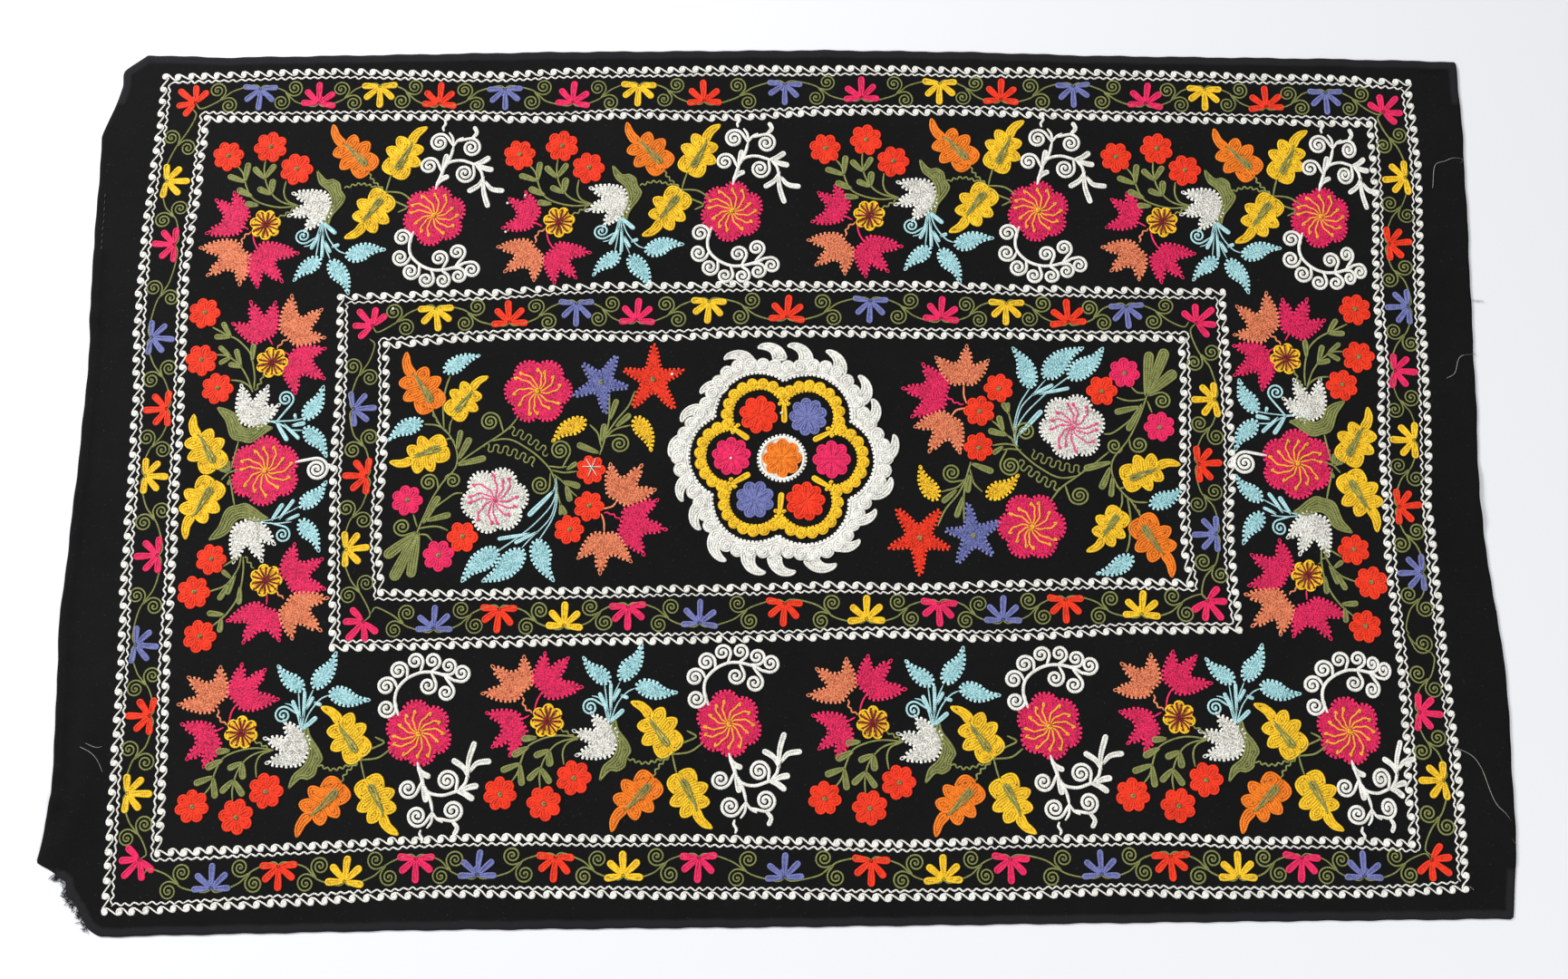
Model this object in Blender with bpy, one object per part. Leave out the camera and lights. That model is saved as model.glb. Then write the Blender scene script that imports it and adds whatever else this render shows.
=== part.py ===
"""An embroidered cotton cloth of the suzani kind, lying flat with its face up.

One closed sheet: the dark ground cloth with its turned hems, its cut-off and torn
corners and its soft buckles, and the thick chain-stitch motifs raised in its face.
The cloth's underside rests on the plane z = 0, and the origin is the middle of the
rectangle that the cloth's outline fills.
"""

import math
from collections import namedtuple

import bmesh
import bpy
from mathutils import Vector
from mathutils.geometry import delaunay_2d_cdt

# ------------------------------------------------------------------ driving sizes
MM = 0.001                      # the tables below are in millimetres
CLOTH_THICKNESS = 1.2 * MM      # the cotton with the back of the stitches
STITCH_HEIGHT = 1.3 * MM        # how far the embroidery stands proud of the face
HEM_HEIGHT = 0.9 * MM           # the second layer of a turned hem
HEM_WIDTH = 15 * MM
EDGE_STEP = 75 * MM             # longest straight stretch of a cut edge
RAIL_WIDTH = 8 * MM             # a border's scroll line

NODE = "ground_cloth"

# The cut edge, clockwise from the cut-off corner at the top left, where x is across
# and y is up the cloth, and whether a turned hem runs on from there. The bottom left
# corner is torn away.
Edge = namedtuple("Edge", "x y hem")
CUT_EDGE = (
    Edge(-993, 634, False), Edge(-991, 641, False), Edge(-972, 655, False),
    Edge(-958, 666, False), Edge(-850, 662, False), Edge(-620, 666, False),
    Edge(-350, 671, False), Edge(60, 674, False), Edge(280, 671, False),
    Edge(460, 665, False), Edge(820, 660, False), Edge(1012, 655, True),
    Edge(1013, 540, True), Edge(1010, 400, True), Edge(1006, 280, True),
    Edge(1001, 100, True), Edge(995, -10, True), Edge(1004, -150, True),
    Edge(1014, -250, True), Edge(1013, -350, True), Edge(1009, -510, True),
    Edge(1003, -560, True), Edge(997, -598, False), Edge(500, -603, False),
    Edge(0, -609, False), Edge(-500, -613, False), Edge(-800, -619, False),
    Edge(-935, -622, False), Edge(-952, -612, False), Edge(-961, -599, False),
    Edge(-966, -586, False), Edge(-985, -570, False), Edge(-988, -549, False),
    Edge(-1006, -536, False), Edge(-1029, -523, True), Edge(-1021, -480, True),
    Edge(-1016, -430, True), Edge(-1018, -320, True), Edge(-1024, -200, True),
    Edge(-1021, -130, True), Edge(-1016, 0, True), Edge(-1012, 130, True),
    Edge(-1012, 220, True), Edge(-1017, 320, True), Edge(-1018, 535, False),
    Edge(-1004, 578, False), Edge(-992, 618, False),
)

# Soft buckles that lift the cloth off the floor: each runs from one point to the
# other and dies out to both sides of that line.
Buckle = namedtuple("Buckle", "x0 y0 x1 y1 height reach")
BUCKLES = (
    Buckle(-975, -330, -972, -430, 3.5, 24),
    Buckle(-972, -430, -1002, -505, 4.0, 26),
    Buckle(-1030, -443, -990, -436, 3.0, 20),
    Buckle(-1020, 255, -985, 262, 2.5, 22),
    Buckle(1004, 20, 996, -40, 2.5, 30),
)

# ------------------------------------------------------------- the embroidery's layout
# A motif stands at x, y in millimetres, points along turn in degrees anticlockwise
# from +X, and is size long from there, or has that radius. Spread is the angle between
# a lily's middle and side tips, or the hand of a leaf or cup, 1 or -1.
Motif = namedtuple("Motif", "kind x y turn size spread")

# Each group is drawn once, in parts, and the copies' parts have small shifts of their
# own. One spray of the top row; the bottom row has it upside down.
SPRAY = {
    "flowers": (
        Motif("flower", -827, 504, 10, 24, 0), Motif("flower", -765, 518, 30, 25, 0),
        Motif("flower", -725, 483, 0, 25, 0)),
    "lilies": (
        Motif("blossom", -765, 398, 15, 23, 0), Motif("lily", -799, 400, 151, 60, 44),
        Motif("lily", -800, 361, 225, 62, 46), Motif("lily", -776, 361, -46, 67, 42)),
    "tulip": (
        Motif("lily", -672, 433, 199, 66, 33), Motif("cup", -653, 442, 180, 43, 1),
        Motif("drop", -682, 344, 215, 53, 0), Motif("drop", -667, 341, -54, 61, 0),
        Motif("drop", -644, 348, 18, 58, 0)),
    "leaves": (
        Motif("leaf", -614, 481, 128, 95, 1), Motif("leaf", -582, 474, 57, 92, 1),
        Motif("leaf", -588, 446, 228, 93, 1)),
    "rosette": (Motif("rosette", -517, 412, 20, 48, 0),),
}
# How far each part of a copy stands from the first one: four along the top and then
# four along the bottom.
Copies = namedtuple("Copies", "dx dy")
SPRAY_COPIES = {
    "flowers": Copies((0, 434, 888, 1321, 7, 433, 884, 1311), (1, 3, 13, -1, -1, 17, 11, 15)),
    "lilies": Copies((-1, 433, 891, 1324, 8, 434, 889, 1318), (0, 4, 14, 4, -5, 11, 8, 15)),
    "tulip": Copies((0, 440, 897, 1320, 8, 438, 891, 1313), (0, 8, 17, 1, 1, 12, 8, 11)),
    "leaves": Copies((0, 439, 893, 1315, 1, 435, 882, 1306), (0, 4, 10, -6, 8, 16, 9, 13)),
    "rosette": Copies((0, 440, 893, 1311, 7, 440, 888, 1307), (0, 7, 7, -3, 8, 21, 18, 11)),
}
TOP_COPIES = 4
SPRAY_MIRROR = 29               # the line that the bottom row is turned over

# The group at the left end; the right end has it left for right.
END_GROUP = {
    "upper_flowers": (
        Motif("flower", -847, 262, 0, 24, 0), Motif("flower", -848, 191, 20, 24, 0),
        Motif("flower", -822, 149, 0, 24, 0)),
    "upper_lilies": (
        Motif("blossom", -744, 188, 0, 22, 0), Motif("lily", -753, 223, 119, 66, 36),
        Motif("lily", -721, 227, 46, 65, 46), Motif("lily", -718, 197, -36, 63, 42)),
    "middle": (
        Motif("rosette", -746, 29, 20, 47, 0), Motif("lily", -774, 96, 68, 64, 34),
        Motif("lily", -772, -49, 294, 63, 33), Motif("cup", -780, 69, 64, 46, -1),
        Motif("cup", -780, -24, 296, 46, 1), Motif("leaf", -815, 28, 114, 92, 1),
        Motif("leaf", -816, 14, 247, 95, -1), Motif("drop", -692, 104, 62, 60, 0),
        Motif("drop", -690, 90, -48, 58, 0), Motif("drop", -690, -28, 42, 55, 0),
        Motif("drop", -689, -44, -57, 57, 0)),
    "lower_flowers": (
        Motif("flower", -815, -102, 0, 23, 0), Motif("flower", -837, -149, 0, 24, 0),
        Motif("flower", -824, -211, 0, 24, 0)),
    "lower_lilies": (
        Motif("blossom", -735, -131, 0, 22, 0), Motif("lily", -703, -129, 32, 61, 48),
        Motif("lily", -700, -164, -40, 66, 44), Motif("lily", -732, -170, 244, 62, 45)),
}
Shift = namedtuple("Shift", "dx dy")
END_SHIFTS = {
    "upper_flowers": Shift(-1, -2), "upper_lilies": Shift(-3, -2), "middle": Shift(3, 3),
    "lower_flowers": Shift(8, 7), "lower_lilies": Shift(19, -1),
}
END_MIRROR = -5.5               # the line that the right end is turned over
END_RISE = 7                    # and how much higher it is sewn

# The cluster left of the medallion; the right one is it turned half a turn about
# a point of its own.
CLUSTER = {
    "outer": (
        Motif("rosette", -414, -16, 10, 50, 0), Motif("flower", -540, -16, 0, 23, 0),
        Motif("flower", -492, -96, 15, 23, 0), Motif("flower", -459, -69, 0, 23, 0),
        Motif("lily", -524, -64, 243, 68, 27),
        Motif("leaf", -505, 117, 116, 98, 1), Motif("leaf", -481, 107, 48, 79, 1),
        Motif("leaf", -484, 64, 195, 88, 1), Motif("drop", -493, 174, 31, 56, 0),
        Motif("drop", -523, 99, 204, 56, 0)),
    "rosette": (Motif("rosette", -356, 145, 60, 51, 0),),
    "drops": (
        Motif("drop", -407, -88, 216, 70, 0), Motif("drop", -371, -89, 223, 76, 0),
        Motif("drop", -352, -74, -72, 66, 0)),
    "inner": (
        Motif("star", -265, 157, 62, 47, 0), Motif("star", -189, 162, 90, 54, 0),
        Motif("flower", -277, 29, 0, 22, 0), Motif("flower", -279, -25, 0, 23, 0),
        Motif("flower", -307, -59, 0, 22, 0), Motif("lily", -235, -13, 58, 58, 46),
        Motif("lily", -226, -46, -13, 63, 45), Motif("lily", -256, -64, 267, 60, 47),
        Motif("drop", -287, 101, 208, 57, 0), Motif("drop", -215, 106, -59, 56, 0)),
}
CLUSTER_SHIFTS = {
    "outer": Shift(1, -10), "rosette": Shift(-3, 5), "drops": Shift(6, -9),
    "inner": Shift(3, 5),
}
CLUSTER_TURN = Vector((0.5, 43))

# The medallion: six flowers inside a yellow ring of six arcs, and around them a white
# ring that ends in hooks.
MEDALLION = Vector((-3, 46))
PETAL_CIRCLE = 72               # from the middle to each flower
PETAL_TURN = -2                 # the first flower's direction, degrees
FLOWER_RADIUS = 28
YELLOW_OUTER = 55               # arcs about each flower
YELLOW_INNER = 39
WHITE_INNER = 61
CENTRE_RADIUS = 34              # the middle flower with the white ring round it
STEM_ROOT, STEM_TIP, STEM_WIDTH = 86, 45, 9
# The white ring's outer edge swings out over each flower. Its radius there and between
# the flowers:
WHITE_OVER, WHITE_BETWEEN = 158, 142
WHITE_POINTS = 36
# Each hook's tip: its direction in degrees and its radius. They were sewn by eye.
Hook = namedtuple("Hook", "tip radius")
HOOKS = (
    Hook(12, 165), Hook(34, 156), Hook(48, 165), Hook(68, 171), Hook(87, 167),
    Hook(102, 168), Hook(120, 170), Hook(141, 152), Hook(160, 154), Hook(180, 160),
    Hook(204, 156), Hook(222, 157), Hook(242, 170), Hook(262, 168), Hook(277, 166),
    Hook(297, 173), Hook(313, 163), Hook(331, 154), Hook(350, 160),
)
# A hook's edge from its root over its back to its tip and under it: degrees from the
# tip, and how much further out than the tip.
HOOK_EDGE = ((-15, -24), (-12, -3), (-7, 5), (-2, 5), (0, -1), (-4, -7), (-7, -24))

# The borders' scroll lines: four corners, and how far each side stands outside the
# straight line between its corners, at even steps.
Rail = namedtuple("Rail", "corners top right bottom left")
RAILS = (
    Rail(((-930, 631), (937, 622), (937, -558), (-930, -589)),
         (4, 10, 7, 6, 12, 15, 17, 18, 18, 16, 15, 12, 9, 6), (6, 0, -4, -8, -13, -10, -4, 0),
         (4, 3, 1, -4, -1, -1, -4, -8, -10, -13, -16, -14, -8, -4), (1, 2, 4, 7, 8, 8, 15, 13, 6)),
    Rail(((-863, 564), (876, 556), (867, -497), (-861, -511)),
         (1, 3, 4, 1, 8, 5, 11, 16, 15, 12, 7, 6, 2), (1, -5, -5, -10, -10, -3, 0),
         (-5, -7, -12, -10, -7, -6, -11, -15, -16, -18, -17, -10, -6), (2, 7, 7, 10, 10, 14, 16, 8)),
    Rail(((-649, 287), (642, 294), (644, -202), (-636, -227)),
         (3, 8, 15, 15, 16, 15, 13, 6, 3), (2, 1, -6), (-2, 2, 4, -4, -1, -1, -1, -1, 1), (4, 4, 0)),
    Rail(((-580, 214), (581, 223), (576, -136), (-571, -149)),
         (9, 11, 7, 13, 12, 9, 7, 3), (-1, -5, -7), (-5, -2, 0, -3, -2, 0, 0, 2), (6, 2, -2)),
)


def polar(radius, degrees):
    """The point at this distance and direction from zero."""
    turn = math.radians(degrees)
    return Vector((radius * math.cos(turn), radius * math.sin(turn)))


# ------------------------------------------------------------------ motif outlines
def lobed(radius, lobes, dip, per_lobe=2):
    """A round flower whose edge dips by this share of its radius between its lobes."""
    count = lobes * per_lobe
    points = []
    for i in range(count):
        turn = 360 * i / count
        swell = abs(math.cos(math.radians(turn * lobes / 2)))
        points.append(polar(radius * (1 - dip + dip * swell), turn))
    return points


def star(size):
    """Five pointed petals."""
    notch = 0.41 * size
    return [polar(size if i % 2 == 0 else notch, 36 * i) for i in range(10)]


def lily(size, spread):
    """Three pointed petals that open from one root."""
    shoulder = spread + 22
    return [
        Vector((0, 0)),
        polar(0.44 * size, -shoulder),
        polar(0.97 * size, -spread),
        polar(0.58 * size, -0.47 * spread),
        polar(size, 0),
        polar(0.58 * size, 0.47 * spread),
        polar(0.97 * size, spread),
        polar(0.44 * size, shoulder),
    ]


def shaped(stations, size, hand):
    """An outline from shares of a size, turned over where hand is -1."""
    return [Vector((x * size, y * size * hand)) for x, y in stations]


def leaf(size, hand):
    """A broad leaf with scalloped sides and a hooked tip."""
    stations = ((0, 0), (0.13, -0.20), (0.30, -0.26), (0.50, -0.21), (0.66, -0.02),
                (1.0, 0.01), (0.93, 0.13), (0.67, 0.22), (0.48, 0.33), (0.26, 0.32),
                (0.07, 0.16))
    return shaped(stations, size, hand)


def cup(size, hand):
    """The green cup of a tulip, with a long wing on its right."""
    stations = ((0, 0), (0.12, -0.50), (0.95, -0.92), (0.50, -0.12), (0.53, 0.93),
                (0.12, 0.33))
    return shaped(stations, size, hand)


def drop(size):
    """A teardrop leaf."""
    stations = ((0, 0), (0.20, -0.21), (0.60, -0.23), (1.0, 0.01),
                (0.55, 0.22), (0.16, 0.20))
    return shaped(stations, size, 1)


OUTLINES = {
    "flower": lambda m: lobed(m.size * 1.05, 4, 0.05),
    "blossom": lambda m: lobed(m.size * 1.05, 4, 0.04),
    "rosette": lambda m: lobed(m.size * 1.07, 6, 0.12),
    "star": lambda m: star(m.size),
    "lily": lambda m: lily(m.size, m.spread),
    "leaf": lambda m: leaf(m.size, m.spread),
    "cup": lambda m: cup(m.size, m.spread),
    "drop": lambda m: drop(m.size),
}


def placed(motif):
    """A motif's outline on the cloth."""
    turn = math.radians(motif.turn)
    across, up = Vector((math.cos(turn), math.sin(turn))), Vector((-math.sin(turn), math.cos(turn)))
    spot = Vector((motif.x, motif.y))
    return [spot + p.x * across + p.y * up for p in OUTLINES[motif.kind](motif)]


def all_motifs():
    """Every raised motif's outline, the groups repeated and turned over."""
    outlines = []
    for part, copies in SPRAY_COPIES.items():
        for shape in map(placed, SPRAY[part]):
            for copy, shift in enumerate(map(Vector, zip(*copies))):
                bottom = copy >= TOP_COPIES
                outlines.append([shift + (Vector((p.x, 2 * SPRAY_MIRROR - p.y)) if bottom else p)
                                 for p in shape])
    for part, shift in END_SHIFTS.items():
        for shape in map(placed, END_GROUP[part]):
            outlines.append(shape)
            outlines.append([Vector((2 * END_MIRROR - p.x, p.y + END_RISE)) + Vector(shift)
                             for p in shape])
    for part, shift in CLUSTER_SHIFTS.items():
        for shape in map(placed, CLUSTER[part]):
            outlines.append(shape)
            outlines.append([2 * CLUSTER_TURN - p + Vector(shift) for p in shape])
    return outlines


def arcs(radius, per_arc):
    """The outline of six circles of this radius, each about one flower."""
    half = math.radians(30)
    cusp = PETAL_CIRCLE * math.cos(half) + math.sqrt(radius ** 2 - (PETAL_CIRCLE * math.sin(half)) ** 2)
    reach = math.degrees(math.atan2(cusp * math.sin(half), cusp * math.cos(half) - PETAL_CIRCLE))
    points = []
    for petal in range(6):
        direction = PETAL_TURN + 60 * petal
        centre = MEDALLION + polar(PETAL_CIRCLE, direction)
        for i in range(per_arc):
            points.append(centre + polar(radius, direction + reach * (2 * i / per_arc - 1)))
    return points


def medallion_rings():
    """The loops between which the medallion is raised, from outside in."""
    middle, swing = (WHITE_OVER + WHITE_BETWEEN) / 2, (WHITE_OVER - WHITE_BETWEEN) / 2
    edge = []
    for i in range(WHITE_POINTS):
        turn = 360 * i / WHITE_POINTS
        bulge = math.cos(math.radians(6 * (turn - PETAL_TURN)))
        edge.append(MEDALLION + polar(middle + swing * bulge, turn))
    return [edge, arcs(WHITE_INNER, 5), arcs(YELLOW_OUTER, 5), arcs(YELLOW_INNER, 5)]


def medallion_hooks():
    """The crescent hooks round the white ring."""
    return [[MEDALLION + polar(hook.radius + rise, hook.tip + ahead) for ahead, rise in HOOK_EDGE]
            for hook in HOOKS]


def medallion_flowers():
    """The flowers inside the medallion's rings, and the stems between them."""
    shapes = [[MEDALLION + p for p in lobed(CENTRE_RADIUS, 6, 0.03)]]
    for petal in range(6):
        direction = PETAL_TURN + 60 * petal
        spot = MEDALLION + polar(PETAL_CIRCLE, direction)
        shapes.append([spot + p for p in lobed(FLOWER_RADIUS, 4, 0.05)])
        root, tip = polar(STEM_ROOT, direction + 30), polar(STEM_TIP, direction + 30)
        side = polar(STEM_WIDTH / 2, direction + 120)
        shapes.append([MEDALLION + p for p in (root - side, tip - side, tip + side, root + side)])
    return shapes


def rail_line(rail, inset):
    """A border line as a closed loop, moved inwards by inset millimetres."""
    inward = ((0, -1), (-1, 0), (0, 1), (1, 0))
    diagonal = ((1, -1), (-1, -1), (-1, 1), (1, 1))
    corners = [Vector(c) + inset * Vector(d) for c, d in zip(rail.corners, diagonal)]
    points = []
    for side, offsets in enumerate((rail.top, rail.right, rail.bottom, rail.left)):
        start, end = corners[side], corners[(side + 1) % 4]
        for i, offset in enumerate((0,) + offsets):
            along = start.lerp(end, i / (len(offsets) + 1))
            points.append(along - offset * Vector(inward[side]))
    return points


# ------------------------------------------------------------------ the cloth's edge
def cut_edge():
    """The cut edge with its long stretches divided, as points and hem marks."""
    points, hems = [], []
    for i, here in enumerate(CUT_EDGE):
        after = CUT_EDGE[(i + 1) % len(CUT_EDGE)]
        start, end = Vector((here.x, here.y)), Vector((after.x, after.y))
        steps = max(1, round((end - start).length * MM / EDGE_STEP))
        for step in range(steps):
            points.append(start.lerp(end, step / steps))
            hems.append(here.hem)
    return points, hems


def hem_strips(points, hems):
    """The turned hems at the two ends, each a closed strip along the cut edge."""
    width = HEM_WIDTH / MM
    strips = []
    for side in (1, -1):
        run = [p for p, hem in zip(points, hems) if hem and p.x * side > 0][1:]
        inner = [Vector((p.x - side * width, p.y)) for p in reversed(run)]
        strips.append(run + inner)
    return strips


def lift(point):
    """How far the buckles raise the cloth here, in metres."""
    height = 0.0
    for buckle in BUCKLES:
        start, end = Vector((buckle.x0, buckle.y0)), Vector((buckle.x1, buckle.y1))
        along = end - start
        t = max(0.0, min(1.0, (point - start).dot(along) / along.length_squared))
        away = (point - start - t * along).length / buckle.reach
        if away < 1:
            height = max(height, buckle.height * 0.5 * (1 + math.cos(math.pi * away)))
    return height * MM


def buckle_points(edge):
    """A staggered field of points where the cloth is lifted, kept inside the edge."""
    points = []
    for row in range(-44, 30):
        y = row * 12.5
        for column in range(7):
            for side in (-1, 1):
                x = side * (1003 - column * 12 - (row % 2) * 6)
                point = Vector((x, y))
                inside = all(abs(y - e.y) > 60 or abs(x) < abs(e.x) - 5 for e in edge)
                near = min((point - e).length for e in edge) > 6
                if lift(point) > 0 and inside and near and abs(x) > 955:
                    points.append(point)
    return points


# ------------------------------------------------------------------ the mesh
def anticlockwise(loop):
    """Whether a closed loop runs anticlockwise."""
    return sum(a.cross(b) for a, b in zip(loop, loop[1:] + loop[:1])) > 0


def triangulated(outline, loops, extra):
    """Triangles inside the outline, with every loop's edges kept."""
    coords, faces = [], []
    for loop in [outline] + loops:
        order = list(range(len(coords), len(coords) + len(loop)))
        faces.append(order if anticlockwise(loop) else order[::-1])
        coords.extend(loop)
    coords.extend(extra)
    points, _, triangles, sources, _, owners = delaunay_2d_cdt(coords, [], faces, 0, 1e-4, True)
    kept = [(face, own) for face, own in zip(triangles, owners) if 0 in own]
    return points, kept, sources


def centred(points):
    """The middle of the rectangle that these points fill."""
    xs, ys = [p.x for p in points], [p.y for p in points]
    return Vector(((min(xs) + max(xs)) / 2, (min(ys) + max(ys)) / 2))


def raise_faces(mesh, faces, height):
    """Extrude these faces straight up, with upright walls round them."""
    grown = bmesh.ops.extrude_face_region(mesh, geom=faces)
    for item in grown["geom"]:
        if isinstance(item, bmesh.types.BMVert):
            item.co.z += height
    bmesh.ops.delete(mesh, geom=faces, context="FACES")


def build_cloth():
    """The whole cloth as one closed mesh object."""
    edge, hems = cut_edge()
    middle = centred(edge)
    solids = all_motifs() + medallion_flowers() + medallion_hooks()
    strips = hem_strips(edge, hems)
    rings = medallion_rings()
    for rail in RAILS:
        rings.append(rail_line(rail, -RAIL_WIDTH / MM / 2))
        rings.append(rail_line(rail, RAIL_WIDTH / MM / 2))
    field = buckle_points(edge)
    first_solid = 1 + len(rings)
    first_hem = first_solid + len(solids)

    mesh = bmesh.new()

    def vertex(point, height):
        spot = (point - middle) * MM
        return mesh.verts.new((spot.x, spot.y, height + lift(point)))

    top_points, top_faces, top_sources = triangulated(edge, rings + solids + strips, field)
    top = [vertex(p, CLOTH_THICKNESS) for p in top_points]
    raised, hem_faces = [], []
    for triangle, owners in top_faces:
        face = mesh.faces.new([top[i] for i in triangle])
        in_ring = sum(1 for k in owners if 0 < k < first_solid) % 2 == 1
        if in_ring or any(first_solid <= k < first_hem for k in owners):
            raised.append(face)
        elif any(k >= first_hem for k in owners):
            hem_faces.append(face)

    low_points, low_faces, low_sources = triangulated(edge, [], field)
    low = [vertex(p, 0.0) for p in low_points]
    for triangle, _ in low_faces:
        mesh.faces.new([low[i] for i in reversed(triangle)])

    top_rim = {source: top[i] for i, made in enumerate(top_sources) for source in made}
    low_rim = {source: low[i] for i, made in enumerate(low_sources) for source in made}
    count = len(edge)
    for i in range(count):
        j = (i + 1) % count
        mesh.faces.new((top_rim[i], top_rim[j], low_rim[j], low_rim[i]))

    raise_faces(mesh, hem_faces, HEM_HEIGHT)
    raise_faces(mesh, raised, STITCH_HEIGHT)
    bmesh.ops.recalc_face_normals(mesh, faces=mesh.faces[:])
    bmesh.ops.triangulate(mesh, faces=mesh.faces[:])

    data = bpy.data.meshes.new(NODE)
    mesh.to_mesh(data)
    mesh.free()
    return bpy.data.objects.new(NODE, data)


def cotton():
    """Near-black cotton."""
    material = bpy.data.materials.new("black_cotton")
    material.use_nodes = True
    shader = material.node_tree.nodes["Principled BSDF"]
    shader.inputs["Base Color"].default_value = (0.012, 0.012, 0.014, 1)
    shader.inputs["Roughness"].default_value = 0.9
    shader.inputs["Metallic"].default_value = 0.0
    return material


def main():
    for thing in list(bpy.data.objects):
        bpy.data.objects.remove(thing)
    group = bpy.data.collections.new("suzani_embroidered_textile")
    bpy.context.scene.collection.children.link(group)
    cloth = build_cloth()
    cloth.data.materials.append(cotton())
    group.objects.link(cloth)
    print(len(cloth.data.polygons), "triangles, size", tuple(round(v, 4) for v in cloth.dimensions))


main()
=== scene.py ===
# %% [markdown]
# # An embroidered suzani cloth
# A suzani is a cotton cloth covered in thick chain stitch: flowers, leaves and scrolls
# inside rows of running borders. This one is black and about two metres by one point
# three. The frame is one closed sheet with the motifs raised in it. A pattern of thread
# shaded onto it would stay flat when light rakes over it, so every row of stitches,
# every loop and every knot is made as mesh, drawn from short tables.

# %% Load the frame
import math
from collections import namedtuple

import bpy
import numpy as np
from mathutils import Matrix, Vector
from mathutils.geometry import delaunay_2d_cdt


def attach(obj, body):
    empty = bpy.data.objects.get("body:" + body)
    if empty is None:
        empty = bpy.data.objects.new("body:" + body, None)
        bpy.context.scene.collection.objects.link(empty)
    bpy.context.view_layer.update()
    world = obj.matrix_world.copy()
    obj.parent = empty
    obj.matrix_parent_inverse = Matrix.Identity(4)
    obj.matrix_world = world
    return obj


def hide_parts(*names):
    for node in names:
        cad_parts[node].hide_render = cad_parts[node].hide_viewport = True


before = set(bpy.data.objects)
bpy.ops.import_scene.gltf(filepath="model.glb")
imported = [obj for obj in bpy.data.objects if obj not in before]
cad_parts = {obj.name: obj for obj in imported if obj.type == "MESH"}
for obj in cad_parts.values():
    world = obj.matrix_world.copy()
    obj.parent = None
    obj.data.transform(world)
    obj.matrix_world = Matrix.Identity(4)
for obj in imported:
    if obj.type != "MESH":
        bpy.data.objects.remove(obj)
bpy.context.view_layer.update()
bpy.ops.object.select_all(action="DESELECT")

# %% [markdown]
# ## Places on the cloth
# The embroidery is drawn flat first, in millimetres, on the plane that the camera saw.
# A point could be an x and a y, but here it is one complex number, x+yj, because then
# moving is a sum, turning is a product and turning over is a conjugate. Only when a
# mesh is made do the points become metres. The real cloth buckles near its ends in soft
# ridges, and the stitches rise with it.

# %% Places and buckles
MM = 0.001
MIDDLE = -7.5+26j  # the middle of the rectangle that the cloth fills
CLOTH_TOP = 1.2  # the cotton's face above the floor
rng = np.random.default_rng(11)

# Each buckle's two ends, its height and how far from its ridge it dies out.
Buckle = namedtuple("Buckle", "start end height reach")
BUCKLES = (
    Buckle(-975-330j, -972-430j, 3.5, 24),
    Buckle(-972-430j, -1002-505j, 4.0, 26),
    Buckle(-1030-443j, -990-436j, 3.0, 20),
    Buckle(-1020+255j, -985+262j, 2.5, 22),
    Buckle(1004+20j, 996-40j, 2.5, 30),
)


def lift(spots):
    """How far the buckles raise the cloth at these points, in millimetres."""
    height = np.zeros(len(spots))
    for buckle in BUCKLES:
        along = buckle.end - buckle.start
        share = np.real((spots - buckle.start) * np.conj(along)) / abs(along) ** 2
        away = np.abs(spots - buckle.start - np.clip(share, 0, 1) * along) / buckle.reach
        rise = buckle.height * 0.5 * (1 + np.cos(np.pi * np.minimum(away, 1)))
        height = np.maximum(height, rise)
    return height


def turned(degrees):
    """The direction this many degrees anticlockwise from the right."""
    return np.exp(1j * np.radians(degrees))


ridge = np.array([buckle.start for buckle in BUCKLES])
print("buckles:", len(BUCKLES), "and the highest is", lift(ridge).max(), "mm")

# %% [markdown]
# ## Lines
# A chain-stitch row is a soft line with a width. Blender's curves could draw it, but
# thousands of them are slow to make. Here a curve through a few points (Catmull-Rom)
# gives the line, and then its points are spread so that no step is long and none turns
# far. Straight rows cost few faces and tight curls get enough.

# %% Curves through points
LONGEST_STEP = 8.0  # millimetres
SHARPEST_TURN = 44  # degrees


def smooth(points, closed=False, fine=8):
    """A soft curve through the points, as a denser line."""
    p = np.asarray(points, complex)
    if closed:
        p = np.concatenate([p[-1:], p, p[:2]])
    else:
        p = np.concatenate([[2 * p[0] - p[1]], p, [2 * p[-1] - p[-2]]])
    t = np.arange(fine) / fine
    a, b, c, d = (p[i:len(p) - 3 + i, None] for i in range(4))
    line = b + 0.5 * t * ((c - a) + t * (2 * a - 5 * b + 4 * c - d + t * (3 * b - a - 3 * c + d)))
    return line.ravel() if closed else np.append(line.ravel(), p[-2])


def even(line, step, closed=False):
    """The same line with its points this far apart."""
    if closed:
        line = np.append(line, line[0])
    run = np.concatenate([[0], np.cumsum(np.abs(np.diff(line)))])
    count = max(2, round(run[-1] / step) + 1)
    spread = np.interp(np.linspace(0, run[-1], count), run, line)
    return spread[:-1] if closed else spread


def eased(line):
    """The same line with as few points as its bends allow."""
    steps = np.diff(line)
    steps = steps[np.abs(steps) > 1e-6]
    line = np.concatenate([line[:1], line[0] + np.cumsum(steps)])
    cost = np.abs(steps) / LONGEST_STEP
    cost[1:] += np.abs(np.angle(steps[1:] / steps[:-1], deg=True)) / SHARPEST_TURN
    run = np.concatenate([[0], np.cumsum(cost)])
    count = max(2, math.ceil(run[-1]) + 1)
    return np.interp(np.linspace(0, run[-1], count), run, line)


print("a curl of 3 mm radius takes", len(eased(3 * turned(np.arange(0, 361, 5)))), "points")

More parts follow.
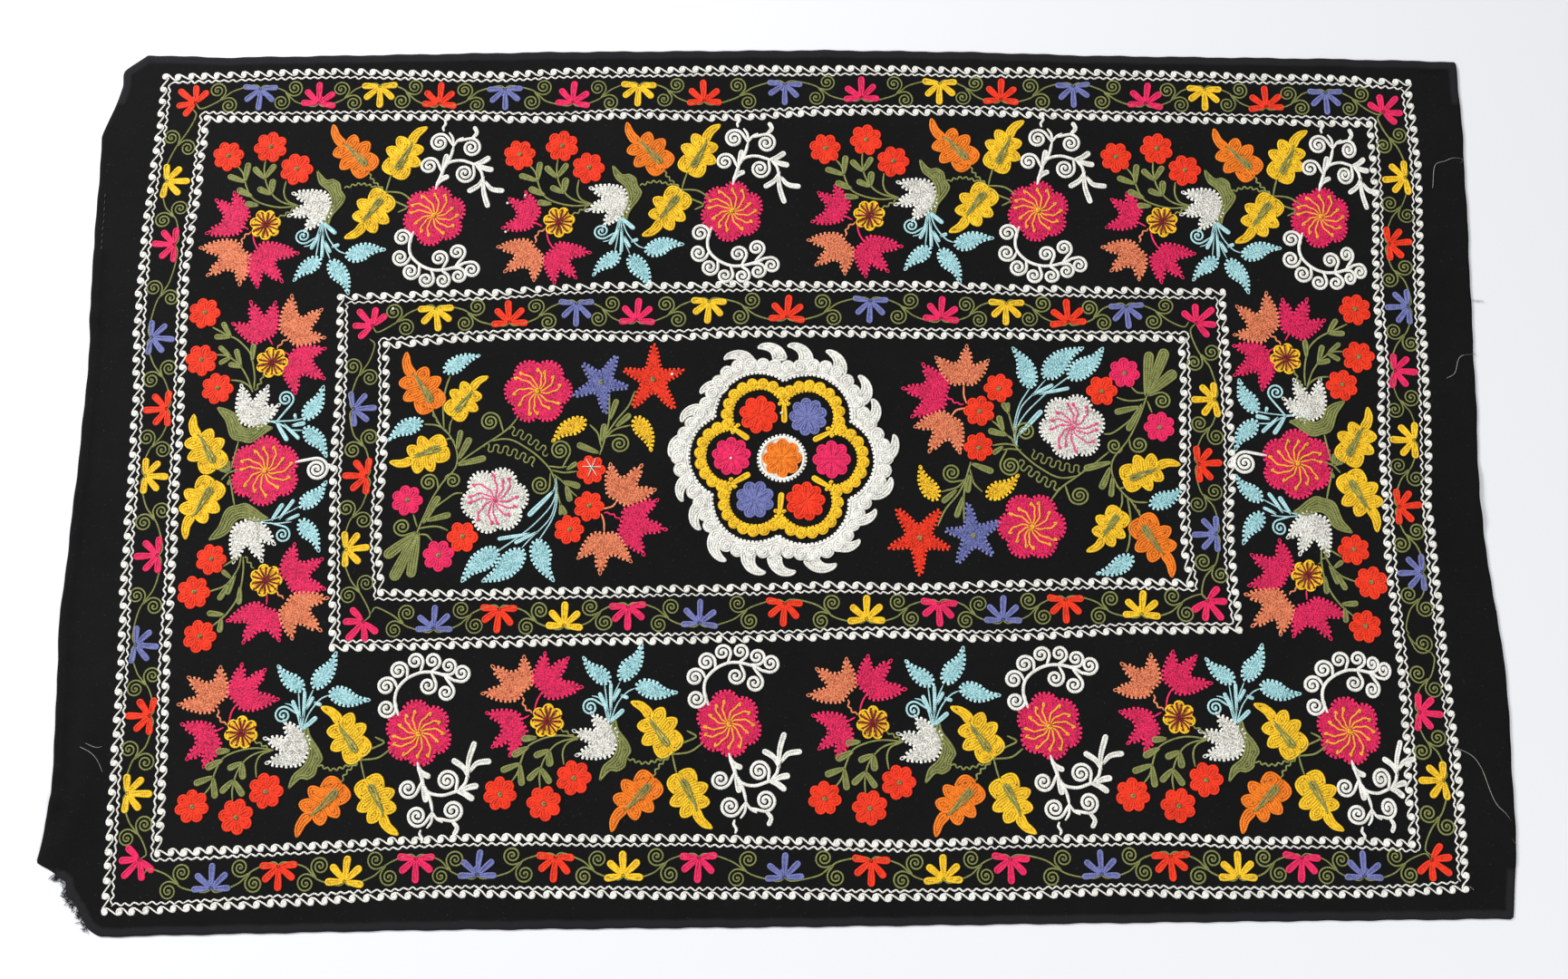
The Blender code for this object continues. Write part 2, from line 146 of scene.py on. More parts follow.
# %% [markdown]
# ## Stitches
# The sewer used four stitches: rows of chain stitch, small round knots, loose stitches
# that lie every way like moss, and loops that stand out round a mossy flower. Under
# each fill lies a felt of the same thread, painted darker as shade, so that no black shows between
# stitches.
# Meshes could be made at once, but then each copy of a flower would be made anew. So
# each run is kept as a record, and motifs return lists of records that are copied
# anywhere.

# %% Records of stitches
Stitch = namedtuple("Stitch", "kind thread path size level")
ROW_WIDTH = 3.3  # one row of chain stitch
ROW_PITCH = 3.6  # from row to row in a fill
MOSS_PITCH = 4.5  # from one loose stitch of a mossy fill to the next
MOSS_WIDTH = 2.8
PICOT_ROOT = 2.2  # how far inside the edge a loop starts
PICOT_REACH = (2.0, 2.9)  # how far outside it ends
PICOT_SWAY = 14  # how far it leans to either side, in degrees


def row(thread, points, width=ROW_WIDTH, level=0.0):
    """One row of chain stitch along a line."""
    return Stitch("row", thread, np.asarray(points, complex), width, level)


def knots(thread, spots, radius, level=0.0):
    """Small round knots at these spots."""
    return Stitch("knot", thread, np.asarray(spots, complex), radius, level)


def picots(thread, edge, pitch=6.3, width=4.9, level=0.0):
    """Loops that stand out from an anticlockwise edge, each as a root and a tip."""
    spots = even(edge, pitch, closed=True)
    out = np.roll(spots, -1) - np.roll(spots, 1)
    out = -1j * out / np.abs(out) * turned(rng.uniform(-PICOT_SWAY, PICOT_SWAY, len(spots)))
    reach = rng.uniform(*PICOT_REACH, len(spots))
    ends = np.stack([spots - PICOT_ROOT * out, spots + reach * out], 1)
    return Stitch("picot", thread, ends.ravel(), width, level)


def moss(thread, spots):
    """Short bent stitches that lie every way, at these spots."""
    return Stitch("moss", thread, np.asarray(spots, complex), MOSS_WIDTH, 0.0)


def felt(thread, outline, level=0.0, light=0.4):
    """The thread under a motif, inside a closed outline; its size says how light its painted shade is."""
    return Stitch("felt", thread, np.asarray(outline, complex), light, level)


def moved(stitches, place):
    """Copies of the stitches with each point put through place."""
    return [s._replace(path=place(s.path)) for s in stitches]


def at(spot, degrees=0.0):
    """A place: turned, and then set down at spot."""
    return lambda z: spot + z * turned(degrees)


print("a stitch is kept as", Stitch._fields)

# %% [markdown]
# ## Outlines to fill
# The fills start from a closed outline. They need its inner side, how far a point is
# from it, and which points lie in it, and on a line of complex numbers each is a short
# sum.

# %% Closed lines
def anticlockwise(outline):
    """A closed outline in even steps, anticlockwise."""
    edge = even(np.asarray(outline, complex), 1.6, closed=True)
    return edge if np.sum(np.imag(np.conj(edge) * np.roll(edge, -1))) > 0 else edge[::-1]


def inset(edge, depth):
    """A closed line's points moved to its left by this much."""
    way = np.roll(edge, -2) - np.roll(edge, 2)
    return edge + 1j * way / np.abs(way) * depth


def distance(spots, line):
    """How far each spot is from the nearest point of a line."""
    return np.abs(spots[:, None] - line[None, :]).min(1)


def inside(spots, edge):
    """Which points lie inside a closed line."""
    x, y = spots.real[:, None], spots.imag[:, None]
    x0, y0, x1, y1 = edge.real, edge.imag, np.roll(edge, -1).real, np.roll(edge, -1).imag
    crosses = ((y0 > y) != (y1 > y)) & (x < (x1 - x0) * (y - y0) / (y1 - y0 + 1e-12) + x0)
    return crosses.sum(1) % 2 == 1


def unbroken(line, keep):
    """The runs of a closed line's points that are kept."""
    if keep.all():
        return [np.append(line, line[0])]
    start = int(np.argmin(keep))
    keep, line = np.roll(keep, -start), np.roll(line, -start)
    breaks = np.flatnonzero(np.diff(np.concatenate([[0], keep.astype(int), [0]])))
    return [line[a:b] for a, b in zip(breaks[::2], breaks[1::2]) if b - a > 2]


def staggered(edge, step):
    """A field of points inside a closed line, each row shifted by half a step."""
    heights = np.arange(edge.imag.min(), edge.imag.max(), 0.87 * step)
    lines = [np.arange(edge.real.min() + (k % 2) * step / 2, edge.real.max(), step) + 1j * y
             for k, y in enumerate(heights)]
    return np.concatenate([line[inside(line, edge)] for line in lines])


def scalloped(corners, fine):
    """A closed outline of scallops: each corner comes with how far the next one swells."""
    spots = np.array([corner for corner, _ in corners])
    t = np.arange(fine) / fine
    line = []
    for here, after, (_, swell) in zip(spots, np.roll(spots, -1), corners):
        out = -1j * (after - here) / abs(after - here)
        line.append(here + (after - here) * t + out * swell * np.sin(np.pi * t) ** 0.7)
    return np.concatenate(line)


disc_edge = 20 * turned(np.arange(0, 360, 6))
print("loose stitches in a disc of 20 mm radius:", len(staggered(disc_edge, MOSS_PITCH)))

# %% [markdown]
# ## Fills
# A sewer fills a shape by running rows round inside its edge until nothing is left.
# Straight rows would be simpler, but they would give a grain that the cloth doesn't
# have. So the edge is moved inwards, and what has come too close to another part of it
# is dropped. A mossy fill has loops along its edge and loose stitches in a staggered
# field inside.

# %% Rows and moss inside an outline
ALL_ROWS = 40  # more than any shape here has room for
EDGE_MARGIN = 2.4  # from a mossy flower's edge to its first loose stitch


def row_fill(thread, outline, level=0.0, rows=ALL_ROWS):
    """The outline filled with smooth rows, or only its outer few."""
    edge = anticlockwise(outline)
    stitches = [felt(thread, inset(edge, 0.9)[::3], level, 0.25)] if rows == ALL_ROWS else []
    for layer in range(rows):
        depth = ROW_WIDTH / 2 - 0.1 + layer * ROW_PITCH
        line = inset(edge, depth)
        keep = distance(line, edge) > depth - 0.3 * ROW_PITCH
        if not keep.any():
            break
        stitches += [row(thread, run, level=level) for run in unbroken(line, keep)]
    return stitches


def moss_fill(thread, outline):
    """The outline filled with loose stitches, with small loops along its edge."""
    edge = anticlockwise(outline)
    field = staggered(edge, MOSS_PITCH)
    field = field[distance(field, edge) > EDGE_MARGIN]
    field = field + rng.normal(0, 0.5, len(field)) + 1j * rng.normal(0, 0.5, len(field))
    # The felt under the moss is painted darkest, as shade between the loose stitches.
    ground = felt(thread, inset(edge, 1.0)[::3], 0.1, 0.12)
    return [ground, picots(thread, edge), moss(thread, field)]


print("the same disc takes", len(row_fill("ivory", disc_edge)), "runs of felt and rows")

# %% [markdown]
# ## Curls and coils
# The scrolls end in curls: a row comes in at the rim, winds towards its own middle and
# closes in a small ring. A coil is a whole round spot made of one row. Both are
# spirals, one formula for the distance from the middle and one for the angle.

# %% Curls
RING_WIDTH = 2.8  # the row of the small ring inside a curl


def curl(thread, centre, radius, start, hand=1, gap=5.4, width=3.2):
    """A row from start that winds into a spiral; hand 1 is anticlockwise."""
    away = start - centre
    reach = math.degrees(math.acos(min(1.0, radius / abs(away))))
    angle = np.arange(0, 360 * (radius - 1.6) / gap, 12)
    aim = math.degrees(np.angle(away)) + hand * (reach + angle)
    line = np.concatenate([[start], centre + (radius - gap * angle / 360) * turned(aim)])
    ring = line[-1] * 0.5 + centre * 0.5 + 0.9 * turned(np.arange(0, 361, 72))
    return [row(thread, line, width), row(thread, ring, RING_WIDTH)]


def coil(thread, radius, level, centre=0j):
    """A filled round spot, coiled from one row."""
    angle = np.arange(0, 360 * (radius - 1.2) / ROW_PITCH + 90, 15)
    spread = np.maximum(radius - 1.4 - ROW_PITCH * angle / 360, 0.4)
    return [row(thread, centre + spread * turned(angle), level=level)]


def corners_of(stitches):
    """How many corners these rows have once they are eased."""
    return sum(len(eased(s.path)) for s in stitches)


print("a curl has", corners_of(curl("olive", 0j, 12, -14+0j)), "corners")

# %% [markdown]
# ## Paddles
# Small leaves and the petals of the five-fingered flowers widen along a line to a round
# tip. The fill above would cross its rows at the narrow root. A sewer runs up one side,
# round the tip and down the other, and so do these rows, one inside the next.

# %% A paddle
PADDLE_MARGIN = 0.9  # the narrowest loop that a paddle still has room for


def paddle(thread, line, width, level=0.0):
    """A leaf that widens along a line to a round tip: a row round it and a full middle."""
    spine = even(smooth(line), 3.0)
    run = np.concatenate([[0], np.cumsum(np.abs(np.diff(spine)))])
    way = np.gradient(spine)
    way = way / np.abs(way)
    end = run[-1] - width / 2
    body = run < end
    swell = np.sin(run[body] / end * np.pi / 2) ** 0.6
    last = np.interp(end, run, spine)
    tip = way[-1] * turned(np.arange(75, -76, -30))
    left = width / 2 - ROW_WIDTH / 2
    stitches = []
    while left > PADDLE_MARGIN or not stitches:
        side = 1j * way[body] * swell * left
        loop = np.concatenate([spine[body] + side, last + left * tip, (spine[body] - side)[::-1]])
        stitches.append(row(thread, loop, level=level))
        if len(stitches) == 1:
            stitches.append(felt(thread, loop[1:-1], level + 0.2, 0.35))
        left -= ROW_PITCH
    middle = spine[(run > 0.3 * run[-1]) & (run < run[-1] - width / 2)]
    if left > -1.6 and len(middle) > 1:
        stitches.append(row(thread, middle, 2 * left + ROW_PITCH, level - 0.15))
    return stitches


print("a paddle has", corners_of(paddle("olive", [0, 24], 9)), "corners")

# %% [markdown]
# ## Lobed flowers
# Each lobe of a small round flower was sewn as rows bent like horseshoes, one in the
# other, so the light catches it as a small cushion. A ring of scallops would lose that.
# One lobe is worked out from the flower's radius and the number of lobes, and is turned
# round a heart.

# %% A lobed flower
HEART_RADIUS = 4.6
LOBE_SWELL = 1.14  # how much fuller a lobe is than a circle in its wedge


def lobed(thread, radius, count, heart=None):
    """A round flower of lobes that nest like horseshoes, with a heart."""
    share = math.sin(math.pi / count)
    bend = LOBE_SWELL * radius * share / (1 + share)
    bow = radius - bend + (bend - 1.2) * turned(np.arange(-75, 76, 25))
    rim = np.concatenate([bow * turned(360 * lobe / count) for lobe in range(count)])
    stitches = [felt(thread, rim, 0.2, 0.3)]
    foot = (0.17 if heart else 0.07) * radius
    for lobe in range(count):
        for spread in np.arange(bend - ROW_WIDTH / 2, 0.6, -ROW_PITCH):
            arc = radius - bend + spread * turned(np.arange(-105, 106, 30))
            line = np.concatenate([[foot - 0.3j * spread], arc, [foot + 0.3j * spread]])
            stitches.append(row(thread, smooth(line, fine=3) * turned(360 * lobe / count)))
    if heart:
        stitches += coil(heart, HEART_RADIUS, 0.9)
    return stitches


print("a flower has", corners_of(lobed("red", 23, 6, "olive")), "corners")

# %% [markdown]
# ## Wheel flowers, stars and blossoms
# A wheel flower is mossy and carries curved rows of another colour on top. A star is
# five uneven mossy fingers, and a yellow blossom has two dark clubbed threads on each
# lobe. What lies on top was sewn over the finished flower, so it only needs a higher
# level and no cut-outs.

# %% Wheels, stars and blossoms
WHEEL_SPOKES = 12
SPOKE_WIDTH = 2.5
STAR_REACH = (1.0, 0.88, 0.96, 1.0, 0.86)
STAR_NOTCH = 0.36
STAR_FINGER = np.array([0.66-0.125j, 0.88-0.06j, 0.97, 0.88+0.06j, 0.66+0.125j])
BLOSSOM_LOBES = 7


def wheel(thread, radius, spokes, heart):
    """A six-lobed mossy flower with curved spokes sewn over it."""
    angle = np.arange(0, 360, 5)
    lobes = np.abs(np.cos(np.radians(3 * angle))) ** 0.55
    stitches = moss_fill(thread, radius * (0.73 + 0.21 * lobes) * turned(angle))
    for spoke in range(WHEEL_SPOKES):
        reach = radius * rng.uniform(0.58, 0.76)
        bend = 34 + rng.uniform(-10, 10)
        share = np.linspace(0.12, 1, 10)
        line = reach * share * turned(30 * spoke + bend * share + 2.5 * np.sin(14 * share + 2 * spoke))
        hook = line[-1] + 2.6 * turned(30 * spoke + np.array([60, 150, 200]))
        stitches.append(row(spokes, smooth(np.append(line, hook), fine=3), SPOKE_WIDTH, 1.1))
    return stitches + coil(heart, 5.2, 1.6)


def star(thread, size, heart):
    """Five uneven mossy fingers round a green heart."""
    edge = []
    for i, reach in enumerate(STAR_REACH):
        edge.append(np.append(STAR_NOTCH * turned(-36), STAR_FINGER * reach) * turned(72 * i))
    outline = smooth(size * np.concatenate(edge), closed=True, fine=4)
    return moss_fill(thread, outline) + coil(heart, 5.0, 1.3)


def blossom(radius):
    """Seven yellow lobes, each with two clubbed maroon threads, and a maroon heart."""
    stitches = lobed("yellow", radius, BLOSSOM_LOBES)
    for lobe in range(BLOSSOM_LOBES):
        for side in (-1, 1):
            aim = turned(360 * lobe / BLOSSOM_LOBES + side * 13 + rng.uniform(-3, 3))
            reach = radius * rng.uniform(0.72, 0.87)
            stitches.append(row("maroon", [4 * aim, reach * aim], 3.1, 1.1))
            stitches.append(knots("maroon", [(reach - 0.5) * aim], 2.3, 1.1))
    return stitches + coil("maroon", 6.4, 1.5)


print("a star's fingers reach", STAR_REACH, "of its size")

# %% [markdown]
# ## Lilies and drops
# A lily is three pointed petals from one cup, and a drop is a teardrop leaf whose tip
# bends over. Each petal ends in a small open loop. One fixed outline would make every
# lily alike, but the sewer opened them differently. So each half of the outline is
# turned to an angle and drawn out to a length of its own.

# %% Lilies and drops
TIP_LOOP = np.array([0, 0.6-0.42j, 1.25-0.3j, 1.5, 1.25+0.3j, 0.6+0.42j, 0]) * 4.8
TIP_LOOP_WIDTH = 2.0
TIP_LOOP_BACK = 7.5  # how far before a petal's tip its loop starts

# Half of a lily's edge: a side petal from the root round its tip to the notch, as how
# far out and at what angle from its tip, and then the middle petal up to its own tip.
LILY_SIDE = ((0.24, 52), (0.42, 31), (0.59, 18), (0.73, 10), (0.84, 5), (0.88, 0), (0.83, -5),
             (0.71, -9.5), (0.61, -12.5))
LILY_NOTCH = 0.53
LILY_MIDDLE = ((0.61, 12), (0.71, 9.5), (0.82, 5.5))
LILY_TIP = 0.88

# A drop points along the x axis, is fullest on its right and has a tip that bends left.
DROP_EDGE = (0, 0.08-0.13j, 0.29-0.205j, 0.54-0.18j, 0.75-0.07j, 0.92+0.085j,
             0.72+0.085j, 0.57+0.12j, 0.37+0.185j, 0.13+0.15j)


def tip_loop(thread, tip, degrees):
    """The small open loop that ends a petal."""
    return [row(thread, tip + smooth(TIP_LOOP, fine=3) * turned(degrees), TIP_LOOP_WIDTH)]


def lily_edge(size, petals):
    """Three petals from one cup; the clockwise and the other side petal have (angle, share)."""
    halves = []
    for (angle, share), hand in zip(petals, (-1, 1)):
        side = [share * reach * turned(angle + hand * ahead) for reach, ahead in LILY_SIDE]
        notch = [LILY_NOTCH * turned(0.48 * angle)]
        halves.append(side + notch + [reach * turned(hand * away) for reach, away in LILY_MIDDLE])
    right, left = halves
    return smooth(np.array([0] + right + [LILY_TIP] + left[::-1]) * size, closed=True, fine=4)


def lily(thread, size, petals):
    """A mossy lily with a loop at each petal's tip."""
    stitches = moss_fill(thread, lily_edge(size, petals))
    for turn, share in petals + ((0, 1.0),):
        stitches += tip_loop(thread, (share * size - TIP_LOOP_BACK) * turned(turn), turn)
    return stitches


def drop(thread, size, side):
    """A mossy teardrop leaf with a looped tip; side -1 turns it over."""
    edge = smooth(np.array(DROP_EDGE) * size, closed=True, fine=5)
    stitches = moss_fill(thread, edge) + tip_loop(thread, (0.87+0.07j) * size, 14)
    return moved(stitches, np.conj) if side < 0 else stitches


print("corners in half a lily:", len(LILY_SIDE) + len(LILY_MIDDLE), "and in a drop:", len(DROP_EDGE))

# %% [markdown]
# ## Broad leaves and band flowers
# A broad leaf is scalloped down both sides, ends in a hooked tip and holds a green rib.
# Filled as one outline its rows would run along the edge, but on the cloth they fan out
# from the rib, so each scallop is filled by itself. The five-fingered flower is five
# paddles.

# %% Leaves and palmettes
# A leaf points along the x axis and its tip bends to the right. Each scallop runs
# between two corners, swells by a share of the leaf's size, and its rows fan out from a
# stretch of the rib.
Scallop = namedtuple("Scallop", "start end swell rib_start rib_end")
LEAF_SCALLOPS = (
    Scallop(0.0, 0.28-0.175j, 0.15, 0.06, 0.24+0.01j),
    Scallop(0.28-0.175j, 0.49-0.14j, 0.125, 0.24+0.01j, 0.42+0.03j),
    Scallop(0.49-0.14j, 0.66+0.0j, 0.12, 0.42+0.03j, 0.60+0.06j),
    Scallop(0.66+0.165j, 0.455+0.245j, 0.12, 0.60+0.06j, 0.42+0.03j),
    Scallop(0.455+0.245j, 0.245+0.225j, 0.125, 0.42+0.03j, 0.24+0.01j),
    Scallop(0.245+0.225j, 0.0, 0.145, 0.24+0.01j, 0.06),
)
LEAF_TIP = (0.58+0.07j, 0.66+0.01j, 0.79+0.025j, 0.92-0.005j, 1.0+0.01j,
            0.96+0.08j, 0.86+0.15j, 0.68+0.17j)
LEAF_RIB = (0.11, 0.16-0.055j, 0.30-0.045j, 0.65+0.055j, 0.32+0.065j, 0.16+0.06j)
PALMETTE_FINGERS = ((-93, 27), (93, 27), (-47, 30), (47, 30), (0, 35))  # degrees, millimetres
BLUE_FINGER_WIDTH, FINGER_WIDTH = 9.4, 10.6


def leaf(thread, size, side):
    """A broad scalloped leaf with a hooked tip and a green rib; side -1 turns it over."""
    stitches = row_fill(thread, smooth(np.array(LEAF_TIP) * size, closed=True, fine=5))
    for s in LEAF_SCALLOPS:
        bow = scalloped([(s.start, s.swell), (s.end, 0.0)], fine=8)[:9]
        stitches += row_fill(thread, np.concatenate([bow, [s.rib_end, s.rib_start]]) * size)
    stitches += row_fill("olive", smooth(np.array(LEAF_RIB) * size, closed=True, fine=4), level=0.9)
    return moved(stitches, np.conj) if side < 0 else stitches


def palmette(thread):
    """The five-fingered flower of the bands, pointing right from its root."""
    width = BLUE_FINGER_WIDTH if thread == "blue" else FINGER_WIDTH
    stitches = [felt(thread, np.array([0, 4-6j, 10-7j, 16, 10+7j, 4+6j]))]
    for turn, length in PALMETTE_FINGERS:
        aim = turned(turn + rng.uniform(-4, 4))
        stitches += paddle(thread, [1 + 2 * aim, 1 + length * aim], width)
    return stitches


def flower(thread, radius):
    """A small round flower: most have seven lobes, one in five has six."""
    return lobed(thread, radius, 6 if rng.random() < 0.2 else 7, "olive")


def rosette(thread, radius):
    """A wheel flower with spokes and heart of one colour: gold on magenta, else rose."""
    spokes = "gold" if thread == "magenta" else "rose"
    return wheel(thread, radius, spokes, spokes)


MOTIFS = {
    "flower": lambda thread, size, spread: flower(thread, size),
    "blossom": lambda thread, size, spread: blossom(size),
    "rosette": lambda thread, size, spread: rosette(thread, size),
    "star": lambda thread, size, spread: star(thread, size, "olive"),
    "lily": lily,
    "drop": drop,
    "leaf": leaf,
}
print("a leaf takes", len(leaf("yellow", 90, 1)), "runs of stitches, and a lily takes",
      len(lily("salmon", 60, ((-42, 1), (42, 1)))))

# %% [markdown]
# ## Border lines
# Four pairs of lines run round the cloth, each a running scroll with a zigzag beside it.
# Straight lines would look printed. They were sewn by eye, so each side has its own slow
# bows. They are kept here as how far the line stands outside the straight way between
# its corners, at even steps, with a soft curve through those few numbers.

# %% The lines' corners and bows
# Corners from the top left clockwise, the offsets and the number of knobs of the top,
# right, bottom and left, and the side on which the flower band lies.
Rail = namedtuple("Rail", "corners offsets knobs band_side")
RAILS = (
    Rail((-930+631j, 937+622j, 937-558j, -930-589j),
         ((4, 10, 7, 6, 12, 15, 17, 18, 18, 16, 15, 12, 9, 6), (6, 0, -4, -8, -13, -10, -4, 0),
          (4, 3, 1, -4, -1, -1, -4, -8, -10, -13, -16, -14, -8, -4), (1, 2, 4, 7, 8, 8, 15, 13, 6)),
         (96, 64, 99, 61), -1),
    Rail((-863+564j, 876+556j, 867-497j, -861-511j),
         ((1, 3, 4, 1, 8, 5, 11, 16, 15, 12, 7, 6, 2), (1, -5, -5, -10, -10, -3, 0),
          (-5, -7, -12, -10, -7, -6, -11, -15, -16, -18, -17, -10, -6), (2, 7, 7, 10, 10, 14, 16, 8)),
         (92, 58, 98, 56), 1),
    Rail((-649+287j, 642+294j, 644-202j, -636-227j),
         ((3, 8, 15, 15, 16, 15, 13, 6, 3), (2, 1, -6), (-2, 2, 4, -4, -1, -1, -1, -1, 1), (4, 4, 0)),
         (63, 27, 68, 26), -1),
    Rail((-580+214j, 581+223j, 576-136j, -571-149j),
         ((9, 11, 7, 13, 12, 9, 7, 3), (-1, -5, -7), (-5, -2, 0, -3, -2, 0, 0, 2), (6, 2, -2)),
         (60, 18, 58, 18), 1),
)


def rail_side(rail, side, share):
    """Points on one side of a border line, at these shares of the way along it."""
    start, end = rail.corners[side], rail.corners[(side + 1) % 4]
    offsets = np.array((0,) + rail.offsets[side] + (0,), float)
    spread = np.linspace(0, 1, 8 * (len(offsets) - 1) + 1)
    bow = np.interp(share, spread, np.real(smooth(offsets)))
    return start + (end - start) * share + 1j * (end - start) / abs(end - start) * bow


print("sides of the border lines:", sum(len(rail.knobs) for rail in RAILS))

# %% [markdown]
# ## The borders
# A running scroll is a row of round knobs joined by S-shaped tails, and the zigzag
# beside it, on the side of the flower band, is one wavering row. Copies of one knob
# would all be alike, so each is wound anew, a little larger or smaller and a little off
# its place.

# %% Running scrolls and zigzags
KNOB_RADIUS = 3.7  # to the middle of the outer turn
KNOB_CORE = 1.3  # and of the innermost
KNOB_ROW = 3.5
KNOB_HEIGHT = 1.12  # they are a little taller than wide
TAIL_REACH = 4.7  # how far out a tail leaves one knob and meets the next
TAIL_WIDTH = 2.7
ZIGZAG_OFFSET = 9.0
ZIGZAG_PITCH = 12.3
ZIGZAG_REACH = 1.9
ZIGZAG_WIDTH = 2.7

# A tail from knob to knob: how far out in reaches of a tail, and how far along. The
# first three are measured from the one knob and the last three from the next.
TAIL_START = ((0.9, -2.4), (1.0, 0.8), (0.78, 4.6))
TAIL_END = ((-0.78, -4.8), (-1.0, -0.6), (-0.8, 2.6))


def running_scroll(line):
    """Round knobs joined by tails, along a line of evenly spaced knob middles."""
    line = line + rng.normal(0, 0.6, len(line)) + 1j * rng.normal(0, 0.4, len(line))
    angle = np.arange(0, 451, 30)
    wound_in = np.maximum(KNOB_RADIUS - 2.8 * np.maximum(angle - 120, 0) / 360, KNOB_CORE)
    stitches = []
    for here, after in zip(line, line[1:]):
        way = (after - here) / abs(after - here)
        out = 1j * way
        winding = rng.uniform(0.9, 1.08) * wound_in * turned(angle)
        knob = winding.real * KNOB_HEIGHT + 1j * winding.imag
        stitches.append(row("border_scrolls", after - out * knob, KNOB_ROW))
        stitches.append(felt("border_scrolls", after - out * 1.25 * knob[:13:2], 0.5, 0.8))
        tail = [here + reach * TAIL_REACH * out + along * way for reach, along in TAIL_START]
        tail += [(here + after) / 2]
        tail += [after + reach * TAIL_REACH * out + along * way for reach, along in TAIL_END]
        stitches.append(row("border_scrolls", smooth(tail, fine=3), TAIL_WIDTH))
    return stitches


def zigzag(line):
    """A wavering zigzag row along a line."""
    spots = even(line, ZIGZAG_PITCH / 2)
    way = np.gradient(spots)
    way = way / np.abs(way)
    swing = np.where(np.arange(len(spots)) % 2, 1, -1)
    reach = ZIGZAG_REACH * rng.uniform(0.6, 1.2, len(spots)) * swing
    bends = spots + way * (1j * reach + rng.uniform(-1, 1, len(spots)))
    return [row("border_zigzags", smooth(bends, fine=4), ZIGZAG_WIDTH)]


borders = []
for rail in RAILS:
    for side in range(4):
        start, end = rail.corners[side], rail.corners[(side + 1) % 4]
        share = np.linspace(0, 1, rail.knobs[side] + 1)
        borders += running_scroll(rail_side(rail, side, share))
        out = 1j * (end - start) / abs(end - start) * rail.band_side * ZIGZAG_OFFSET
        trim = -rail.band_side * ZIGZAG_OFFSET / abs(end - start)
        borders += zigzag(rail_side(rail, side, np.linspace(trim, 1 - trim, 200)) + out)
print("knobs in the borders:", sum(sum(rail.knobs) for rail in RAILS))

# %% [markdown]
# ## The flower bands
# Between each pair of lines an olive vine swings from side to side. A five-fingered
# flower stands in each swing, and two curls spring forward wherever the vine crosses
# the middle. One long wave would be too even. So the flowers' places come from a table,
# and each swing is drawn from one flower to the next.

# %% The flowers' places
# For each side the flowers' places along x or y and the first letter of their colours.
# Every second flower points inwards. The corner flowers come first and last. At the full
# stop the vine winds up in a curl, and at the comma it starts again.
Band = namedtuple("Band", "outer inner sides")
BANDS = (
    Band(0, 1, (
        ((-893, -789, -700, -610, -519, -422, -319, -221, -122, -2, 114, 231, 323, 431, 539, 628,
          720, 809, 903), "rbmyrbmyrbmyrbmyrbm"),
        ((587, 475, 372, 276, 179, 76, -22, -116, -204, -232, -313, -408, -519), "myrbmyrb.,myr"),
        ((894, 790, 707, 617, 526, 429, 306, 212, 114, -6, -124, -227, -321, -428, -513, -610,
          -702, -793, -897), "rbmyrbmyrbmyrbmyrbm"),
        ((-527, -428, -322, -222, -94, 20, 120, 226, 367, 467, 591), "myrbmyrbmyr"))),
    Band(2, 3, (
        ((-608, -508, -399, -302, -213, -108, 6, 129, 231, 328, 417, 503, 603), "myrbmyrbmyrbm"),
        ((258, 134, 39, -63, -166), "myrbm"),
        ((606, 503, 396, 307, 217, 114, -2, -122, -224, -313, -406, -497, -597), "myrbmyrbmyrbm"),
        ((-184, -71, 34, 134, 248), "myrbm"))),
)
BAND_COLOURS = {"r": "red", "m": "magenta", "y": "yellow", "b": "blue"}
print("places on each side of the bands:", [len(places) for band in BANDS for places, _ in band.sides])

# %% Vines with their flowers
VINE_REACH = 17.0  # from the band's middle to the vine
VINE_WIDTH = 2.6
VINE_ROOT = 14.0  # and to the flowers' roots
CORNER_ROOT = 10  # along and across, from a corner to its flower's root
CURL_RADIUS = 12.8
CURL_GAP, CURL_WIDTH = 5.5, 2.7
STOP_RADIUS = 14.5  # the curl where the vine stops


def vine_stop(spot, after, out, bow):
    """The curl in which the vine winds up, and the row that passes by it."""
    middle = (spot + after) / 2
    stop = curl("vines", middle + 4 * out, STOP_RADIUS, spot - bow, 1, CURL_GAP, CURL_WIDTH)
    return stop + [row("vines", smooth([spot - bow, middle - 8 * out, after + 0.9 * bow]), VINE_WIDTH)]


def vine_swing(ends, roots, way, bow, near_share, far_share):
    """The vine from one flower's root to the next, and the two curls where it crosses."""
    spot, after = ends
    gap = abs(after - spot)
    crossing = (spot + after) / 2
    near = spot - 1.05 * bow + near_share * gap * way
    far = after + 1.05 * bow - far_share * gap * way
    lean = crossing + 0.55 * bow + 0.12 * gap * way, crossing - 0.55 * bow - 0.12 * gap * way
    vine = [roots[0], near, lean[1], crossing, lean[0], far, roots[1]]
    stitches = [row("vines", smooth(vine), VINE_WIDTH)]
    heading = (lean[0] - lean[1]) / abs(lean[0] - lean[1])
    spring = crossing - 9 * heading
    for hand in (1, -1):
        centre = crossing + 1j * hand * heading * 15 - 3 * heading
        stitches += curl("vines", centre, CURL_RADIUS, spring, hand, CURL_GAP, CURL_WIDTH)
        stitches.append(row("vines", [spring, crossing + 1j * hand * 3 * heading], VINE_WIDTH))
    return stitches


